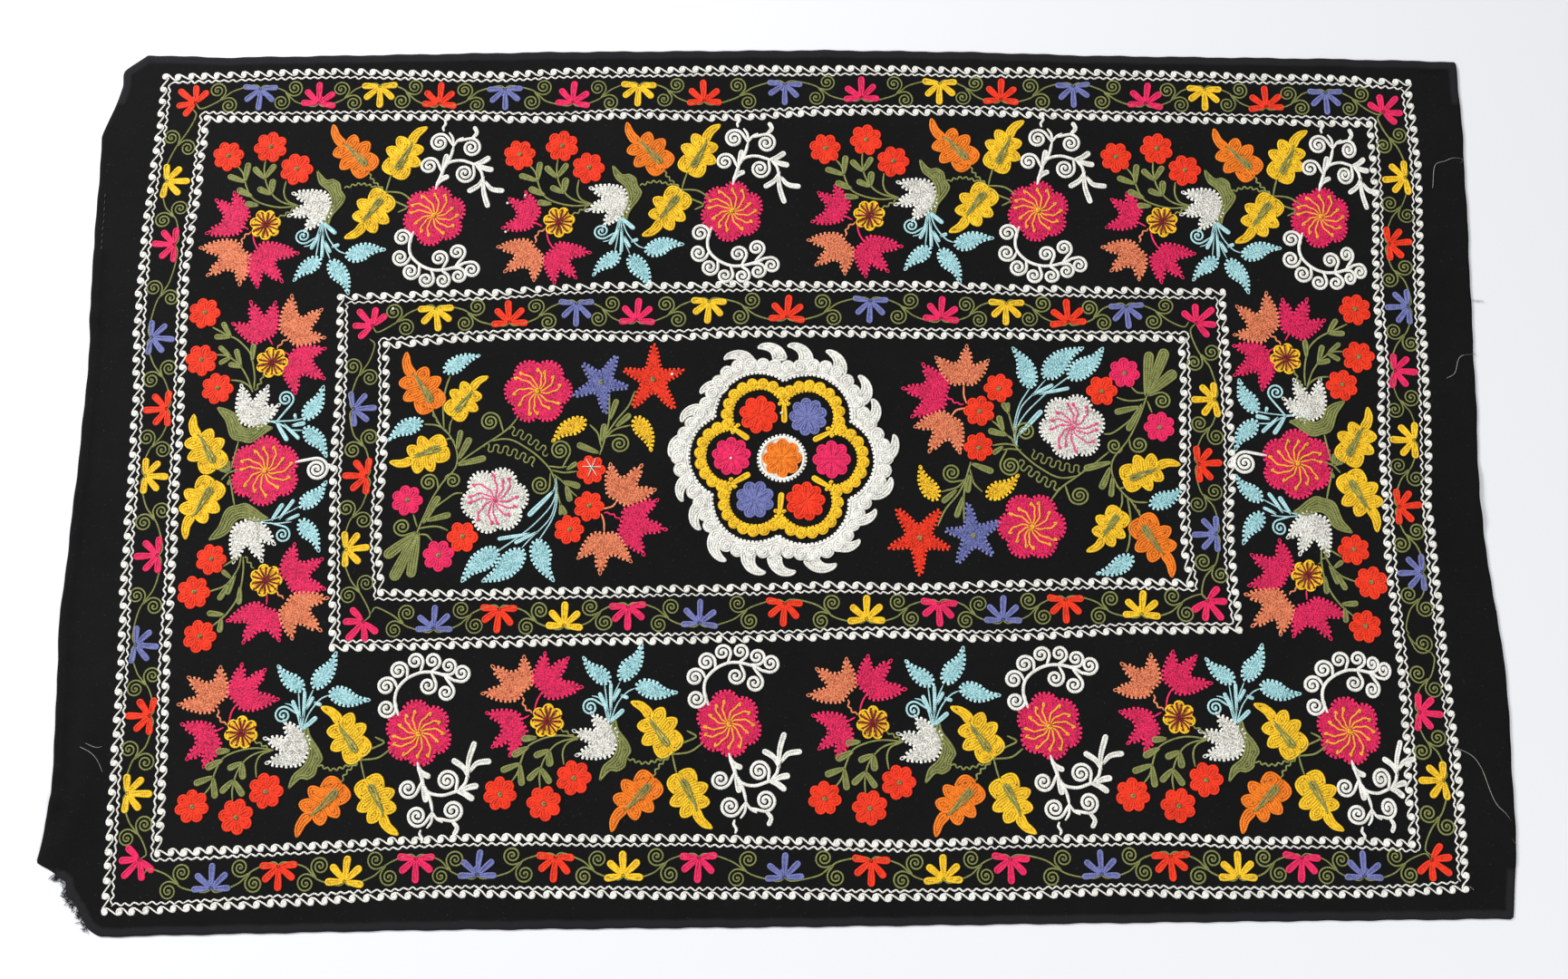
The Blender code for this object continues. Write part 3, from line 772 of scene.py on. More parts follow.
def band_side(band, side):
    """The vine, curls and flowers of one side of a band, from its first corner on."""
    places, colours = band.sides[side]
    outer, inner = RAILS[band.outer], RAILS[band.inner]
    start, end = ((outer.corners[c % 4] + inner.corners[c % 4]) / 2 for c in (side, side + 1))
    way = (end - start) / abs(end - start)
    out = 1j * way
    along = np.array(places) if side % 2 == 0 else 1j * np.array(places)
    share = np.real((along - start) / way) / abs(end - start)
    spots = (rail_side(outer, side, share) + rail_side(inner, side, share)) / 2
    roots = [spot - out * VINE_ROOT * (-1) ** i for i, spot in enumerate(spots)]
    roots[0] = spots[0] + (way - out) * CORNER_ROOT
    roots[-1] = spots[-1] - (way + out) * CORNER_ROOT
    last = len(places) - 1
    stitches = []
    for i in range(last):
        face = out * (-1) ** i
        if colours[i] in BAND_COLOURS:
            turn = math.degrees(np.angle(out - way if i == 0 else face)) + rng.uniform(-5, 5)
            stitches += moved(palmette(BAND_COLOURS[colours[i]]), at(roots[i], turn))
        bow = face * VINE_REACH
        if colours[i] == ".":
            stitches += vine_stop(spots[i], spots[i + 1], out, bow)
            continue
        near_share = 0.10 if i > 0 else 0.17
        far_share = 0.10 if i + 1 < last else 0.17
        stitches += vine_swing(spots[i:i + 2], roots[i:i + 2], way, bow, near_share, far_share)
    return stitches


bands = []
for band in BANDS:
    for side in range(4):
        bands += band_side(band, side)
print("runs of stitches in the bands:", len(bands))

# %% [markdown]
# ## The sprays, the end groups and the clusters
# The field between the borders repeats one spray eight times, four along the top and
# four upside down along the bottom. The middle panel has one group at each end and one
# cluster at each side of the medallion. Exact mirroring would look printed. So each is
# drawn once, in parts, and every part of a copy has its own small shift. Only the
# lilies of the sprays are sewn anew in each, because their sizes differ.

# %% The motifs of a spray
# The spread is a lily's two side petals, clockwise one first, each as its angle from the
# middle petal and its share of that one's length; for a leaf or drop, the side it bends to.
Motif = namedtuple("Motif", "kind thread spot turn size spread", defaults=(0,))
SPRAY = {
    "flowers": (
        Motif("flower", "red", -827+504j, 10, 24), Motif("flower", "red", -765+518j, 30, 25),
        Motif("flower", "red", -725+483j, 0, 25)),
    "lilies": (Motif("blossom", "yellow", -765+398j, 15, 24),),
    "tulip": (
        Motif("lily", "ivory_moss", -672+433j, 199, 66, ((-33, 0.9), (33, 0.9))),
        Motif("drop", "cyan", -682+344j, 215, 50), Motif("drop", "cyan", -667+341j, -54, 58, -1),
        Motif("drop", "cyan", -644+348j, 18, 58, -1)),
    "leaves": (
        Motif("leaf", "orange", -614+481j, 128, 95, 1), Motif("leaf", "yellow", -582+474j, 57, 92, 1),
        Motif("leaf", "yellow", -588+446j, 228, 93, 1)),
    "rosette": (Motif("rosette", "magenta", -517+412j, 20, 48),),
}
SPRAY_LILIES = (  # sewn anew in each spray, in sizes of their own
    Motif("lily", "magenta", -797+400j, 141, 59, ((-31, 0.90), (55, 1.0))),
    Motif("lily", "salmon", -796+359j, 218, 65, ((-41, 1.0), (50, 0.86))),
    Motif("lily", "magenta", -779+357j, -48, 66, ((-35, 0.88), (45, 1.02))),
)
print("motifs in a spray:", sum(len(motifs) for motifs in SPRAY.values()) + len(SPRAY_LILIES))

# %% The motifs of an end group and of a cluster
END_GROUP = {
    "upper_flowers": (
        Motif("flower", "red", -847+262j, 0, 24), Motif("flower", "red", -848+191j, 20, 24),
        Motif("flower", "red", -822+149j, 0, 24)),
    "upper_lilies": (
        Motif("blossom", "yellow", -744+188j, 0, 24),
        Motif("lily", "magenta", -757+223j, 113, 63, ((-35, 0.94), (41, 0.87))),
        Motif("lily", "salmon", -723+226j, 42, 65, ((-43, 0.84), (47, 1.0))),
        Motif("lily", "magenta", -719+195j, -32, 62, ((-46, 0.92), (47, 0.87)))),
    "middle": (
        Motif("rosette", "magenta", -746+27j, 30, 53),
        Motif("lily", "ivory_moss", -772+93j, 68, 66, ((-31, 0.82), (36, 0.98))),
        Motif("lily", "ivory_moss", -769-46j, 295, 66, ((-38, 0.97), (27, 0.86))),
        Motif("leaf", "yellow", -815+28j, 114, 92, 1), Motif("leaf", "yellow", -816+14j, 247, 95, -1),
        Motif("drop", "cyan", -692+104j, 58, 54), Motif("drop", "cyan", -691+90j, -46, 54, -1),
        Motif("drop", "cyan", -692-26j, 40, 52), Motif("drop", "cyan", -692-46j, -50, 53, -1)),
    "lower_flowers": (
        Motif("flower", "red", -815-102j, 0, 23), Motif("flower", "red", -837-149j, 0, 24),
        Motif("flower", "red", -824-211j, 0, 24)),
    "lower_lilies": (
        Motif("blossom", "yellow", -735-131j, 0, 24),
        Motif("lily", "magenta", -706-130j, 31, 59, ((-46, 0.98), (50, 0.91))),
        Motif("lily", "salmon", -704-165j, -37, 65, ((-41, 0.82), (45, 0.92))),
        Motif("lily", "magenta", -733-171j, 239, 60, ((-41, 0.98), (56, 0.89)))),
}
CLUSTER = {
    "outer": (
        Motif("rosette", "ivory_moss", -414-16j, 10, 50), Motif("flower", "magenta", -540-16j, 0, 23),
        Motif("flower", "magenta", -492-96j, 15, 23), Motif("flower", "red", -459-69j, 0, 23),
        Motif("leaf", "orange", -505+117j, 116, 98, 1), Motif("leaf", "yellow", -481+107j, 48, 79, 1),
        Motif("leaf", "yellow", -484+64j, 195, 88, 1), Motif("drop", "cyan", -493+174j, 31, 56, -1),
        Motif("drop", "cyan", -523+99j, 204, 56)),
    "rosette": (Motif("rosette", "magenta", -356+145j, 60, 51),),
    "drops": (
        Motif("drop", "cyan", -407-88j, 216, 70), Motif("drop", "cyan", -371-89j, 223, 76, -1),
        Motif("drop", "cyan", -352-74j, -72, 66)),
    "inner": (
        Motif("star", "blue", -265+157j, 62, 47), Motif("star", "red", -189+162j, 90, 54),
        Motif("flower", "red", -277+29j, 0, 22), Motif("flower", "red", -279-25j, 0, 23),
        Motif("flower", "red", -307-59j, 0, 22),
        Motif("lily", "salmon", -238-16j, 57, 63, ((-41, 0.91), (45, 0.90))),
        Motif("lily", "magenta", -231-47j, -10, 66, ((-46, 0.90), (42, 0.93))),
        Motif("lily", "salmon", -257-65j, 265, 59, ((-41, 0.88), (50, 0.98))),
        Motif("drop", "yellow", -287+101j, 208, 57), Motif("drop", "yellow", -215+106j, -59, 56, -1)),
}
for name, table in (("an end group", END_GROUP), ("a cluster", CLUSTER)):
    print("motifs in", name + ":", sum(len(motifs) for motifs in table.values()))

# %% The shifts of the copies
# Those of the sprays, four along the top and four along the bottom, and then those of
# the group at the right end and of the cluster right of the medallion.
SPRAY_SHIFTS = {
    "flowers": (1j, 434+3j, 888+13j, 1321-1j, 7-1j, 433+17j, 884+11j, 1311+15j),
    "lilies": (-1, 433+4j, 891+14j, 1324+4j, 8-5j, 434+11j, 889+8j, 1318+15j),
    "tulip": (0, 440+8j, 897+17j, 1320+1j, 8+1j, 438+12j, 891+8j, 1313+11j),
    "leaves": (0, 439+4j, 893+10j, 1315-6j, 1+8j, 435+16j, 882+9j, 1306+13j),
    "rosette": (0, 440+7j, 893+7j, 1311-3j, 7+8j, 440+21j, 888+18j, 1307+11j),
}
END_SHIFTS = {
    "upper_flowers": -1-2j, "upper_lilies": -3-2j, "middle": 3+3j,
    "lower_flowers": 8+7j, "lower_lilies": 19-1j,
}
CLUSTER_SHIFTS = {"outer": 1-10j, "rosette": -3+5j, "drops": 6-9j, "inner": 3+5j}
LILY_SHARES = (1.0, 0.9, 0.9, 0.86, 0.92, 0.92, 0.9, 0.88)  # the lilies' size in each spray
LAST_SPRAYS = (3, 7)  # whose scrolls are squeezed against the right border
TIGHT_FROM, TIGHTER = -490, 0.18  # from this x on, by this share
SPRAY_MIRROR = 29j  # the line that the bottom row is turned over
END_MIRROR = -5.5  # the line that the right end is turned over
END_RISE = 7j  # and how much higher it is sewn
CLUSTER_TURN = 0.5+43j  # the right cluster is turned half round this point


def set_out(motifs):
    """The stitches of these motifs, each in its place."""
    stitches = []
    for m in motifs:
        stitches += moved(MOTIFS[m.kind](m.thread, m.size, m.spread), at(m.spot, m.turn))
    return stitches


def sewn(table):
    """The stitches of a table of motifs, part by part."""
    return {part: set_out(motifs) for part, motifs in table.items()}


spray, end_group, cluster = sewn(SPRAY), sewn(END_GROUP), sewn(CLUSTER)
for name, parts in (("spray", spray), ("end group", end_group), ("cluster", cluster)):
    print(name, {part: len(stitches) for part, stitches in parts.items()})

# %% [markdown]
# ## Stems, scrolls and cups
# Stems are single rows through a few points. Short ones were sewn as a wriggle, with
# the needle swung from side to side, and one pair snakes in round bends. Small leaves
# stand on them as paddles, the white scrolls and the cyan sprays end in curls, and a
# green cup with two curled wings holds each white tulip. With one helper for each kind,
# a stem is only the points where it bends.

# %% Stems
STEM_LEVEL = -0.1  # stems dip under the flowers that they meet
MEANDER_WIDTH, MEANDER_PITCH, MEANDER_REACH = 2.7, 13.5, 6.0
SCROLL_GAP, SCROLL_WIDTH = 6.2, 4.7  # the curls of the thick white scrolls
STEM_CURL_GAP, STEM_CURL_WIDTH = 5.6, 3.1  # and those of all other stems


def stems(thread, *lines, width=3.0):
    """Soft rows through the points of each line."""
    return [row(thread, smooth(line), width, STEM_LEVEL) for line in lines]


def wriggles(thread, line, pitch=9.0, reach=1.8, width=2.8):
    """A row that swings from side to side of a line."""
    spots = even(smooth(line), pitch / 2)
    way = np.gradient(spots)
    swing = 1j * way / np.abs(way) * reach * np.where(np.arange(len(spots)) % 2, 1, -1)
    swing[0] = swing[-1] = 0
    return [row(thread, smooth(spots + swing, fine=4), width, 0.0)]


def meander(thread, line):
    """A row that snakes along a line in round, bulging bends."""
    spots = even(smooth(line), MEANDER_PITCH / 8)
    way = np.gradient(spots)
    swing = np.arange(len(spots)) * np.pi / 4
    bulge = MEANDER_REACH * np.sin(swing) * 1j - 0.13 * MEANDER_PITCH * np.sin(2 * swing)
    return [row(thread, smooth(spots + way / np.abs(way) * bulge, fine=2), MEANDER_WIDTH)]


def paddles(thread, *leaves):
    """Paddles, each given as the points of its line and its width."""
    return [s for *line, width in leaves for s in paddle(thread, line, width)]


def curls(thread, *scrolls):
    """Curls, each given as centre, radius, the point that it springs from, and hand."""
    gap, width = STEM_CURL_GAP, STEM_CURL_WIDTH
    if thread == "ivory_scrolls":
        gap, width = SCROLL_GAP, SCROLL_WIDTH
    stitches = []
    for centre, radius, start, hand in scrolls:
        stitches += curl(thread, centre, radius, start, hand, gap, width)
    return stitches


# A tulip's cup is one green leaf with two curled wings, drawn from the end of its stem:
# the narrow cup of the sprays, and the wide one of the end groups.
NARROW_CUP = (-0.5, -3+11j, -14+18j, -24+17j, -39+31j, -35+11j, -20-3j, -15-22j,
              -23-46j, -17-55j, -12-41j, -25j, 6-11j)
WIDE_CUP = (0, -9+4j, -14+12j, -17+22j, -21+32j, -29+42j, -33+51j, -20+49j,
            -9+44j, -2+37j, 1+28j, 8+21j, 18+20j, 30+26j, 41+24j, 51+20j,
            41+13j, 33+6j, 21-2j, 13-3j, 4)


def cup(spot, edge):
    """The green cup of a tulip, from the end of its stem."""
    return row_fill("olive", smooth(spot + np.array(edge), closed=True, fine=6))


print("a narrow cup takes", len(cup(0j, NARROW_CUP)), "runs and a wide one", len(cup(0j, WIDE_CUP)))

# %% Flowers, lilies, tulip and leaves of a spray
spray["flowers"] += stems(
    "olive", (-812+488j, -803+476j, -797+455j, -788+438j, -768+428j, -745+424j, -718+427j),
    (-771+497j, -772+480j, -767+458j, -755+440j, -740+431j, -718+427j),
    (-739+465j, -741+447j, -735+434j, -718+427j))
spray["flowers"] += paddles(
    "olive", (-800+463j, -796+494j, 10), (-800+463j, -827+473j, 10), (-788+440j, -812+452j, 11),
    (-778+427j, -799+429j, 10), (-771+468j, -789+486j, 10), (-771+468j, -756+491j, 10),
    (-760+444j, -781+453j, 10), (-760+444j, -758+468j, 11))
spray["lilies"] += wriggles("olive", (-746+409j, -734+416j, -722+424j))
spray["lilies"] += stems("magenta", (-801+397j, -790+391j), (-783+383j, -780+370j, -773+358j))
spray["lilies"] += wriggles("salmon", (-786+388j, -797+379j, -800+366j), reach=1.4)
spray["tulip"] += cup(-656+452j, NARROW_CUP)
spray["tulip"] += stems(
    "cyan", (-683+404j, -689+380j, -697+367j, -707+364j), (-682+402j, -686+372j, -689+347j),
    (-682+402j, -678+370j, -668+345j), (-681+402j, -672+377j, -658+359j, -646+353j), width=2.4)
spray["tulip"] += curls("cyan", (-709+380j, 12, -690+378j, -1))
spray["tulip"] += paddles(
    "cyan", (-682+402j, -661+383j, 7), (-684+385j, -697+359j, 6), (-680+385j, -680+346j, 5.4),
    (-677+372j, -667+354j, 5.4), (-666+363j, -655+367j, 6))
spray["leaves"] += stems(
    "olive", (-571+417j, -558+425j, -580+436j, -590+449j), (-549+434j, -566+446j, -590+449j),
    (-583+476j, -587+462j, -590+449j), (-600+448j, -590+449j))
spray["leaves"] += wriggles("olive", (-653+455j, -630+462j, -606+456j, -590+449j))
spray["leaves"] += wriggles("olive", (-617+479j, -608+465j, -590+449j))
print("the tulip's part now has", len(spray["tulip"]), "runs of stitches")

# %% The white scrolls of a spray
spray["rosette"] += stems(
    "ivory_scrolls",
    (-517+452j, -513+466j, -508+481j, -504+490j, -495+496j, -480+498j, -467+494j, -456+490j),
    (-508+482j, -501+494j, -496+506j, -493+520j), (-458+490j, -450+481j, -447+468j),
    (-546+388j, -552+370j, -550+352j, -537+337j, -517+328j, -498+328j, -478+334j, -468+340j), width=5.0)
spray["rosette"] += stems(
    "ivory_scrolls", (-493+520j, -494+533j, -500+542j), (-493+520j, -487+529j, -478+534j),
    (-516+458j, -510+472j, -506+484j), width=4.2)
spray["rosette"] += paddles(
    "ivory_scrolls", (-516+457j, -511+467j, -498+474j, 8.5), (-508+484j, -502+508j, 8.5),
    (-462+492j, -450+495j, -437+504j, 9), (-456+491j, -444+486j, -431+484j, 9),
    (-446+474j, -453+460j, -470+449j, 8.5), (-444+466j, -434+454j, -414+451j, 8.5),
    (-447+472j, -446+450j, -438+424j, 8.5), (-467+531j, -458+541j, -463+552j, 7))
spray["rosette"] += wriggles("ivory_scrolls", (-508+544j, -507+562j), pitch=14, width=4.4)
spray["rosette"] += curls(
    "ivory_scrolls", (-514+526j, 14.5, -493+520j, 1), (-466+518j, 14.5, -488+528j, -1),
    (-528+489j, 13.5, -509+479j, 1), (-475+478j, 14.5, -463+494j, -1), (-563+378j, 13.5, -552+366j, 1),
    (-565+348j, 13, -550+350j, -1), (-549+326j, 13, -537+337j, -1), (-526+313j, 12, -519+329j, -1),
    (-501+312j, 11.5, -505+328j, -1), (-478+319j, 12, -492+330j, -1), (-459+328j, 12.5, -475+337j, -1),
    (-481+355j, 12.5, -483+334j, 1), (-507+346j, 12.5, -502+329j, 1))
print("with the scrolls:", len(spray["rosette"]), "runs in the part of the rosette")

# %% [markdown]
# ## Eight sprays
# The spray goes to its eight places. The bottom row is turned over, and the lilies are
# sewn anew in each spray's own size. In the last spray of either row the white scrolls
# have less room before the border, so they are squeezed a little. A few tips carry a
# small pale bead, a knot.

# %% The sprays in their places
BEADS = (-383+443j, -409+431j, -411+386j, -572+268j, -162+170j, -76+46j, -4+112j)
BEAD_RADIUS, BEAD_LEVEL = 2.1, 2.0
LILY_MIDST = 0.6  # where a lily's middle is, as a share of its length


def shrunk(motif, share):
    """A lily made smaller about its own middle."""
    step = LILY_MIDST * (1 - share) * motif.size * turned(motif.turn)
    return motif._replace(size=share * motif.size, spot=motif.spot + step)


def spray_place(copy, squeeze, shift):
    """A place for a part of one of the eight sprays; the last four are turned over."""
    def place(z):
        upright = np.conj(z) + 2 * SPRAY_MIRROR if copy > 3 else z
        return upright - squeeze * np.maximum(z.real - TIGHT_FROM, 0) + shift
    return place


sprays = [knots("ivory_moss", BEADS, BEAD_RADIUS, BEAD_LEVEL)]
for part, shifts in SPRAY_SHIFTS.items():
    for copy, shift in enumerate(shifts):
        stitches = spray[part]
        if part == "lilies":
            stitches = stitches + set_out([shrunk(m, LILY_SHARES[copy]) for m in SPRAY_LILIES])
        squeeze = TIGHTER if part == "rosette" and copy in LAST_SPRAYS else 0.0
        sprays += moved(stitches, spray_place(copy, squeeze, shift))
print("all eight sprays:", len(sprays), "runs of stitches")

# %% [markdown]
# ## The end groups
# At each end of the middle panel two white tulips stand in wide green cups above and
# below a wheel flower, with red flowers on long stems beside them. The group at the
# right end is the left one turned over, again with a shift for each part.

# %% Flowers and lilies of the end groups
end_group["upper_flowers"] += stems(
    "olive", (-834+240j, -812+229j, -795+221j, -778+205j, -772+188j, -768+165j, -768+148j),
    (-828+199j, -810+198j, -793+186j, -781+170j, -772+150j, -770+143j),
    (-803+162j, -788+160j, -775+152j, -769+143j))
end_group["upper_flowers"] += paddles(
    "olive", (-806+226j, -820+248j, 9), (-806+226j, -831+226j, 9), (-773+190j, -772+217j, 9),
    (-805+197j, -823+212j, 8), (-803+197j, -822+186j, 8), (-789+182j, -798+209j, 9),
    (-787+181j, -808+186j, 9))
end_group["upper_lilies"] += stems("magenta", (-745+215j, -752+226j), (-727+204j, -715+195j))
end_group["upper_lilies"] += wriggles("salmon", (-738+208j, -732+218j, -722+226j), reach=1.4)
end_group["upper_lilies"] += wriggles("olive", (-756+171j, -759+158j, -767+146j))
print("the upper flowers' part now has", len(end_group["upper_flowers"]), "runs of stitches")

# %% Tulips, drops and scrolls of the end groups
end_group["middle"] += cup(-788+70j, WIDE_CUP) + cup(-787-23j, np.conj(WIDE_CUP))
end_group["middle"] += stems(
    "olive", (-787+70j, -790+52j, -795+30j), (-786-24j, -790-5j, -796+20j), (-807+14j, -797+25j, -783+29j),
    (-812+41j, -797+25j))
end_group["middle"] += paddles(
    "olive", (-797+25j, -800+42j, 7), (-797+25j, -812+30j, 6), (-794+16j, -797+6j, 6))
end_group["middle"] += stems(
    "cyan", (-752+100j, -728+100j, -700+103j, -690+108j), (-752+100j, -730+97j, -712+88j, -693+87j),
    (-750-48j, -728-43j, -708-33j, -694-25j), (-750-48j, -728-50j, -704-48j), width=2.4)
end_group["middle"] += curls("cyan", (-721+133j, 12, -733+99j, 1), (-716-66j, 11.5, -735-49j, -1))
end_group["middle"] += paddles(
    "cyan", (-733+99j, -715+71j, 7), (-722+96j, -698+74j, 6), (-710+94j, -690+98j, 7),
    (-705+103j, -707+112j, 5.4), (-733-46j, -717-21j, 7), (-722-44j, -702-15j, 6),
    (-712-46j, -693-37j, 5.4))
end_group["middle"] += curls("ivory_scrolls", (-671+29j, 17, -703+40j, -1))
end_group["middle"] += paddles("ivory_scrolls", (-658+33j, -650+33j, 9))
print("the middle of an end group:", len(end_group["middle"]), "runs of stitches")

# %% The end groups in their places
end_group["lower_flowers"] += stems(
    "olive", (-797-112j, -784-104j, -774-98j), (-816-148j, -792-138j, -776-116j, -772-97j),
    (-808-196j, -788-178j, -772-150j, -768-120j, -769-98j))
end_group["lower_flowers"] += paddles(
    "olive", (-785-128j, -799-118j, 8), (-789-137j, -801-160j, 9), (-779-124j, -790-152j, 8),
    (-771-140j, -772-166j, 9), (-796-184j, -797-206j, 9), (-792-180j, -817-178j, 9))
end_group["lower_lilies"] += stems("magenta", (-718-130j, -709-128j), (-732-152j, -732-166j))
end_group["lower_lilies"] += wriggles("salmon", (-722-146j, -714-152j, -708-158j), reach=1.4)
end_group["lower_lilies"] += wriggles("olive", (-752-114j, -760-106j, -767-98j))

ends = []
for part, shift in END_SHIFTS.items():
    ends += end_group[part]
    ends += moved(end_group[part], lambda z: 2 * END_MIRROR - np.conj(z) + END_RISE + shift)
print("both end groups:", len(ends), "runs of stitches")

# %% [markdown]
# ## The clusters
# Each side of the medallion has a cluster of wheel flowers, stars, lilies, leaves and
# long cyan drops on one branching stem. The right cluster isn't a mirror image but is
# turned half round, so its place is a point to turn about.

# %% The outer flowers of a cluster
cluster["outer"] += paddles(
    "olive", (-524-64j, -568-99j, 16), (-524-64j, -555-132j, 17), (-522-62j, -530-128j, 15),
    (-470+58j, -466+88j, 9), (-467+44j, -452+77j, 11), (-469+36j, -428+46j, 11), (-516-50j, -494-10j, 10),
    (-512-46j, -476-37j, 10))
cluster["outer"] += stems(
    "olive",
    (-526-70j, -519-50j, -507-20j, -492+7j, -474+28j, -469+44j, -472+62j, -482+80j, -494+92j, -503+106j,
     -509+117j), (-486+86j, -500+94j, -519+95j), (-474+70j, -480+75j, -490+72j),
    (-482+82j, -482+95j, -479+104j), (-490+90j, -493+120j, -490+150j, -485+167j),
    (-530-37j, -527-46j, -524-55j), (-523-58j, -508-55j, -494-55j, -480-60j),
    (-522-66j, -510-67j, -502-75j), (-507-33j, -488-18j, -472-7j, -460-6j))
cluster["outer"] += wriggles("olive", (-509+117j, -504+106j, -497+97j), reach=1.2)
cluster["outer"] += curls(
    "olive", (-510+10j, 13, -496-1j, 1), (-475+12j, 12, -487+14j, -1), (-545-55j, 13, -526-62j, -1))
print("the outer part of a cluster:", len(cluster["outer"]), "runs of stitches")

# %% The branches of a cluster
cluster["rosette"] += stems(
    "olive", (-470+36j, -450+52j, -425+70j, -400+88j, -385+106j),
    (-423+71j, -405+74j, -388+70j, -368+58j, -350+44j, -337+30j, -329+14j))
cluster["rosette"] += meander("olive", (-397+88j, -372+76j, -340+52j))
cluster["rosette"] += meander("olive", (-432+62j, -402+57j, -376+47j, -358+38j))
cluster["rosette"] += curls("olive", (-425+100j, 14.5, -405+84j, 1), (-350+7j, 14, -336+24j, -1))
cluster["drops"] += stems(
    "cyan", (-328+18j, -328-8j, -340-32j, -370-62j, -408-90j),
    (-328+18j, -327-10j, -335-42j, -356-66j, -373-85j), (-328+18j, -325-12j, -332-44j, -350-75j),
    (-328+18j, -330, -340-15j), width=2.6)
cluster["drops"] += paddles(
    "cyan", (-331-2j, -366-39j, 8), (-362-64j, -408-72j, 6), (-352-62j, -384-78j, 6))
print("the branches:", len(cluster["rosette"]) + len(cluster["drops"]), "runs of stitches")

# %% The clusters in their places
cluster["inner"] += stems(
    "olive", (-338+34j, -322+32j, -312+34j), (-334+28j, -316+25j, -297+27j),
    (-331+22j, -318+12j, -306-2j, -297-10j), (-331+20j, -324-8j, -318-30j),
    (-265+51j, -258+74j, -253+104j, -253+137j), (-262+70j, -245+98j, -226+122j, -216+145j),
    (-263+62j, -268+82j, -280+95j), (-258+74j, -245+88j, -222+95j))
cluster["inner"] += paddles(
    "olive", (-312+29j, -297+40j, 8), (-318+12j, -291+4j, 10), (-313+6j, -306-18j, 10),
    (-320-22j, -312-38j, 9), (-320-20j, -320-38j, 6), (-252+102j, -242+133j, 9), (-243+92j, -222+111j, 9),
    (-263+70j, -259+97j, 9), (-266+54j, -298+66j, 10))
cluster["inner"] += curls("olive", (-322+57j, 15, -318+33j, 1), (-237+67j, 14, -255+78j, -1))
cluster["inner"] += stems(
    "salmon", (-260-29j, -246-26j, -239-18j), (-261-36j, -257-48j, -257-62j), width=3.2)
cluster["inner"] += wriggles("magenta", (-257-35j, -245-37j, -232-46j), reach=1.2)

clusters = []
for part, shift in CLUSTER_SHIFTS.items():
    clusters += cluster[part]
    clusters += moved(cluster[part], lambda z: 2 * CLUSTER_TURN - z + shift)
print("both clusters:", len(clusters), "runs of stitches")

# %% [markdown]
# ## The medallion's rings
# The middle is a wheel: six lobed flowers in a scalloped yellow ring, and round it a
# broad white ring. Filled like other shapes, their rows would meet in a ragged seam. On
# the cloth the rows follow both edges, so each ring is two families of runs, one from
# the outer edge inwards and one from the inner edge out. Loops stand along the inner
# edge and coils along the outer one.

# %% Rings
MEDALLION = -3+46j
PETAL_CIRCLE = 72  # from the middle to the middle of each flower
PETAL_TURN = -2
OUTER_ROWS = 2  # rows that follow a ring's outer edge
WHITE_RADIUS, WHITE_SWELL = 145.5, 8
WHITE_HOLLOW, YELLOW_RIM, YELLOW_HOLLOW = 62.5, 48.5, 39  # radii about the flowers


def arcs(radius):
    """Six arcs of this radius, each about one flower, as one closed line."""
    half = math.radians(30)
    cusp = PETAL_CIRCLE * math.cos(half) + math.sqrt(radius ** 2 - (PETAL_CIRCLE * math.sin(half)) ** 2)
    reach = math.degrees(math.atan2(cusp * math.sin(half), cusp * math.cos(half) - PETAL_CIRCLE))
    fan = radius * turned(reach * (2 * np.arange(20) / 20 - 1))
    return np.concatenate([(PETAL_CIRCLE + fan) * turned(PETAL_TURN + 60 * petal) for petal in range(6)])


def ring_fill(thread, outer, inner):
    """Rows from the outer edge inwards, and the rest from the inner edge outwards."""
    rim, hollow = anticlockwise(outer), anticlockwise(inner)
    stitches = row_fill(thread, outer, rows=OUTER_ROWS)
    for layer in range(ALL_ROWS):
        depth = ROW_WIDTH / 2 + layer * ROW_PITCH
        line = inset(hollow, -depth)
        free_of_rim = distance(line, rim) > ROW_PITCH * (OUTER_ROWS + 0.1)
        keep = free_of_rim & (distance(line, hollow) > depth - 0.5)
        if not keep.any():
            break
        stitches += [row(thread, run) for run in unbroken(line, keep)]
    band = np.concatenate([rim[::4], rim[:1], hollow[:1], hollow[::-4]])
    return stitches + [felt(thread, band)]


def ring_coils(thread, edge, pitch, radius):
    """Coils set side by side along a closed line, some a little higher than others."""
    stitches = []
    for spot in even(edge, pitch, closed=True):
        level = 0.8 + rng.uniform(0, 0.6)
        stitches.append(felt(thread, spot + radius * turned(np.arange(0, 360, 24)), level, 0.3))
        stitches += coil(thread, radius, level, spot)
    return stitches


angle = np.arange(0, 360, 3)
white_swell = WHITE_SWELL * np.cos(np.radians(6 * (angle - PETAL_TURN)))
white_rim = (WHITE_RADIUS + white_swell) * turned(angle)
white_hollow, yellow_rim, yellow_hollow = arcs(WHITE_HOLLOW), arcs(YELLOW_RIM), arcs(YELLOW_HOLLOW)
medallion = ring_fill("ivory_rings", white_rim, white_hollow)
medallion += ring_fill("yellow", yellow_rim, yellow_hollow)
medallion.append(picots("ivory_rings", anticlockwise(white_hollow)[::-1], 6.0, 4.8, 0.2))
medallion.append(picots("yellow", anticlockwise(yellow_hollow)[::-1], 5.6, 4.6, 0.2))
medallion += ring_coils("ivory_rings", inset(white_rim, 3.5), 18.3, 10.9)
medallion += ring_coils("yellow", inset(yellow_rim, 2.6), 15.5, 8.7)
print("the two rings:", len(medallion), "runs of stitches")

# %% [markdown]
# ## The medallion's hooks and flowers
# Nineteen crescent hooks stand round the white ring like flames, all leaning one way.
# Even copies would look stamped, so each has its own direction and length. Each is one
# outline about its tip, filled with rows. Inside, the six flowers and their stems are
# turned round the middle.

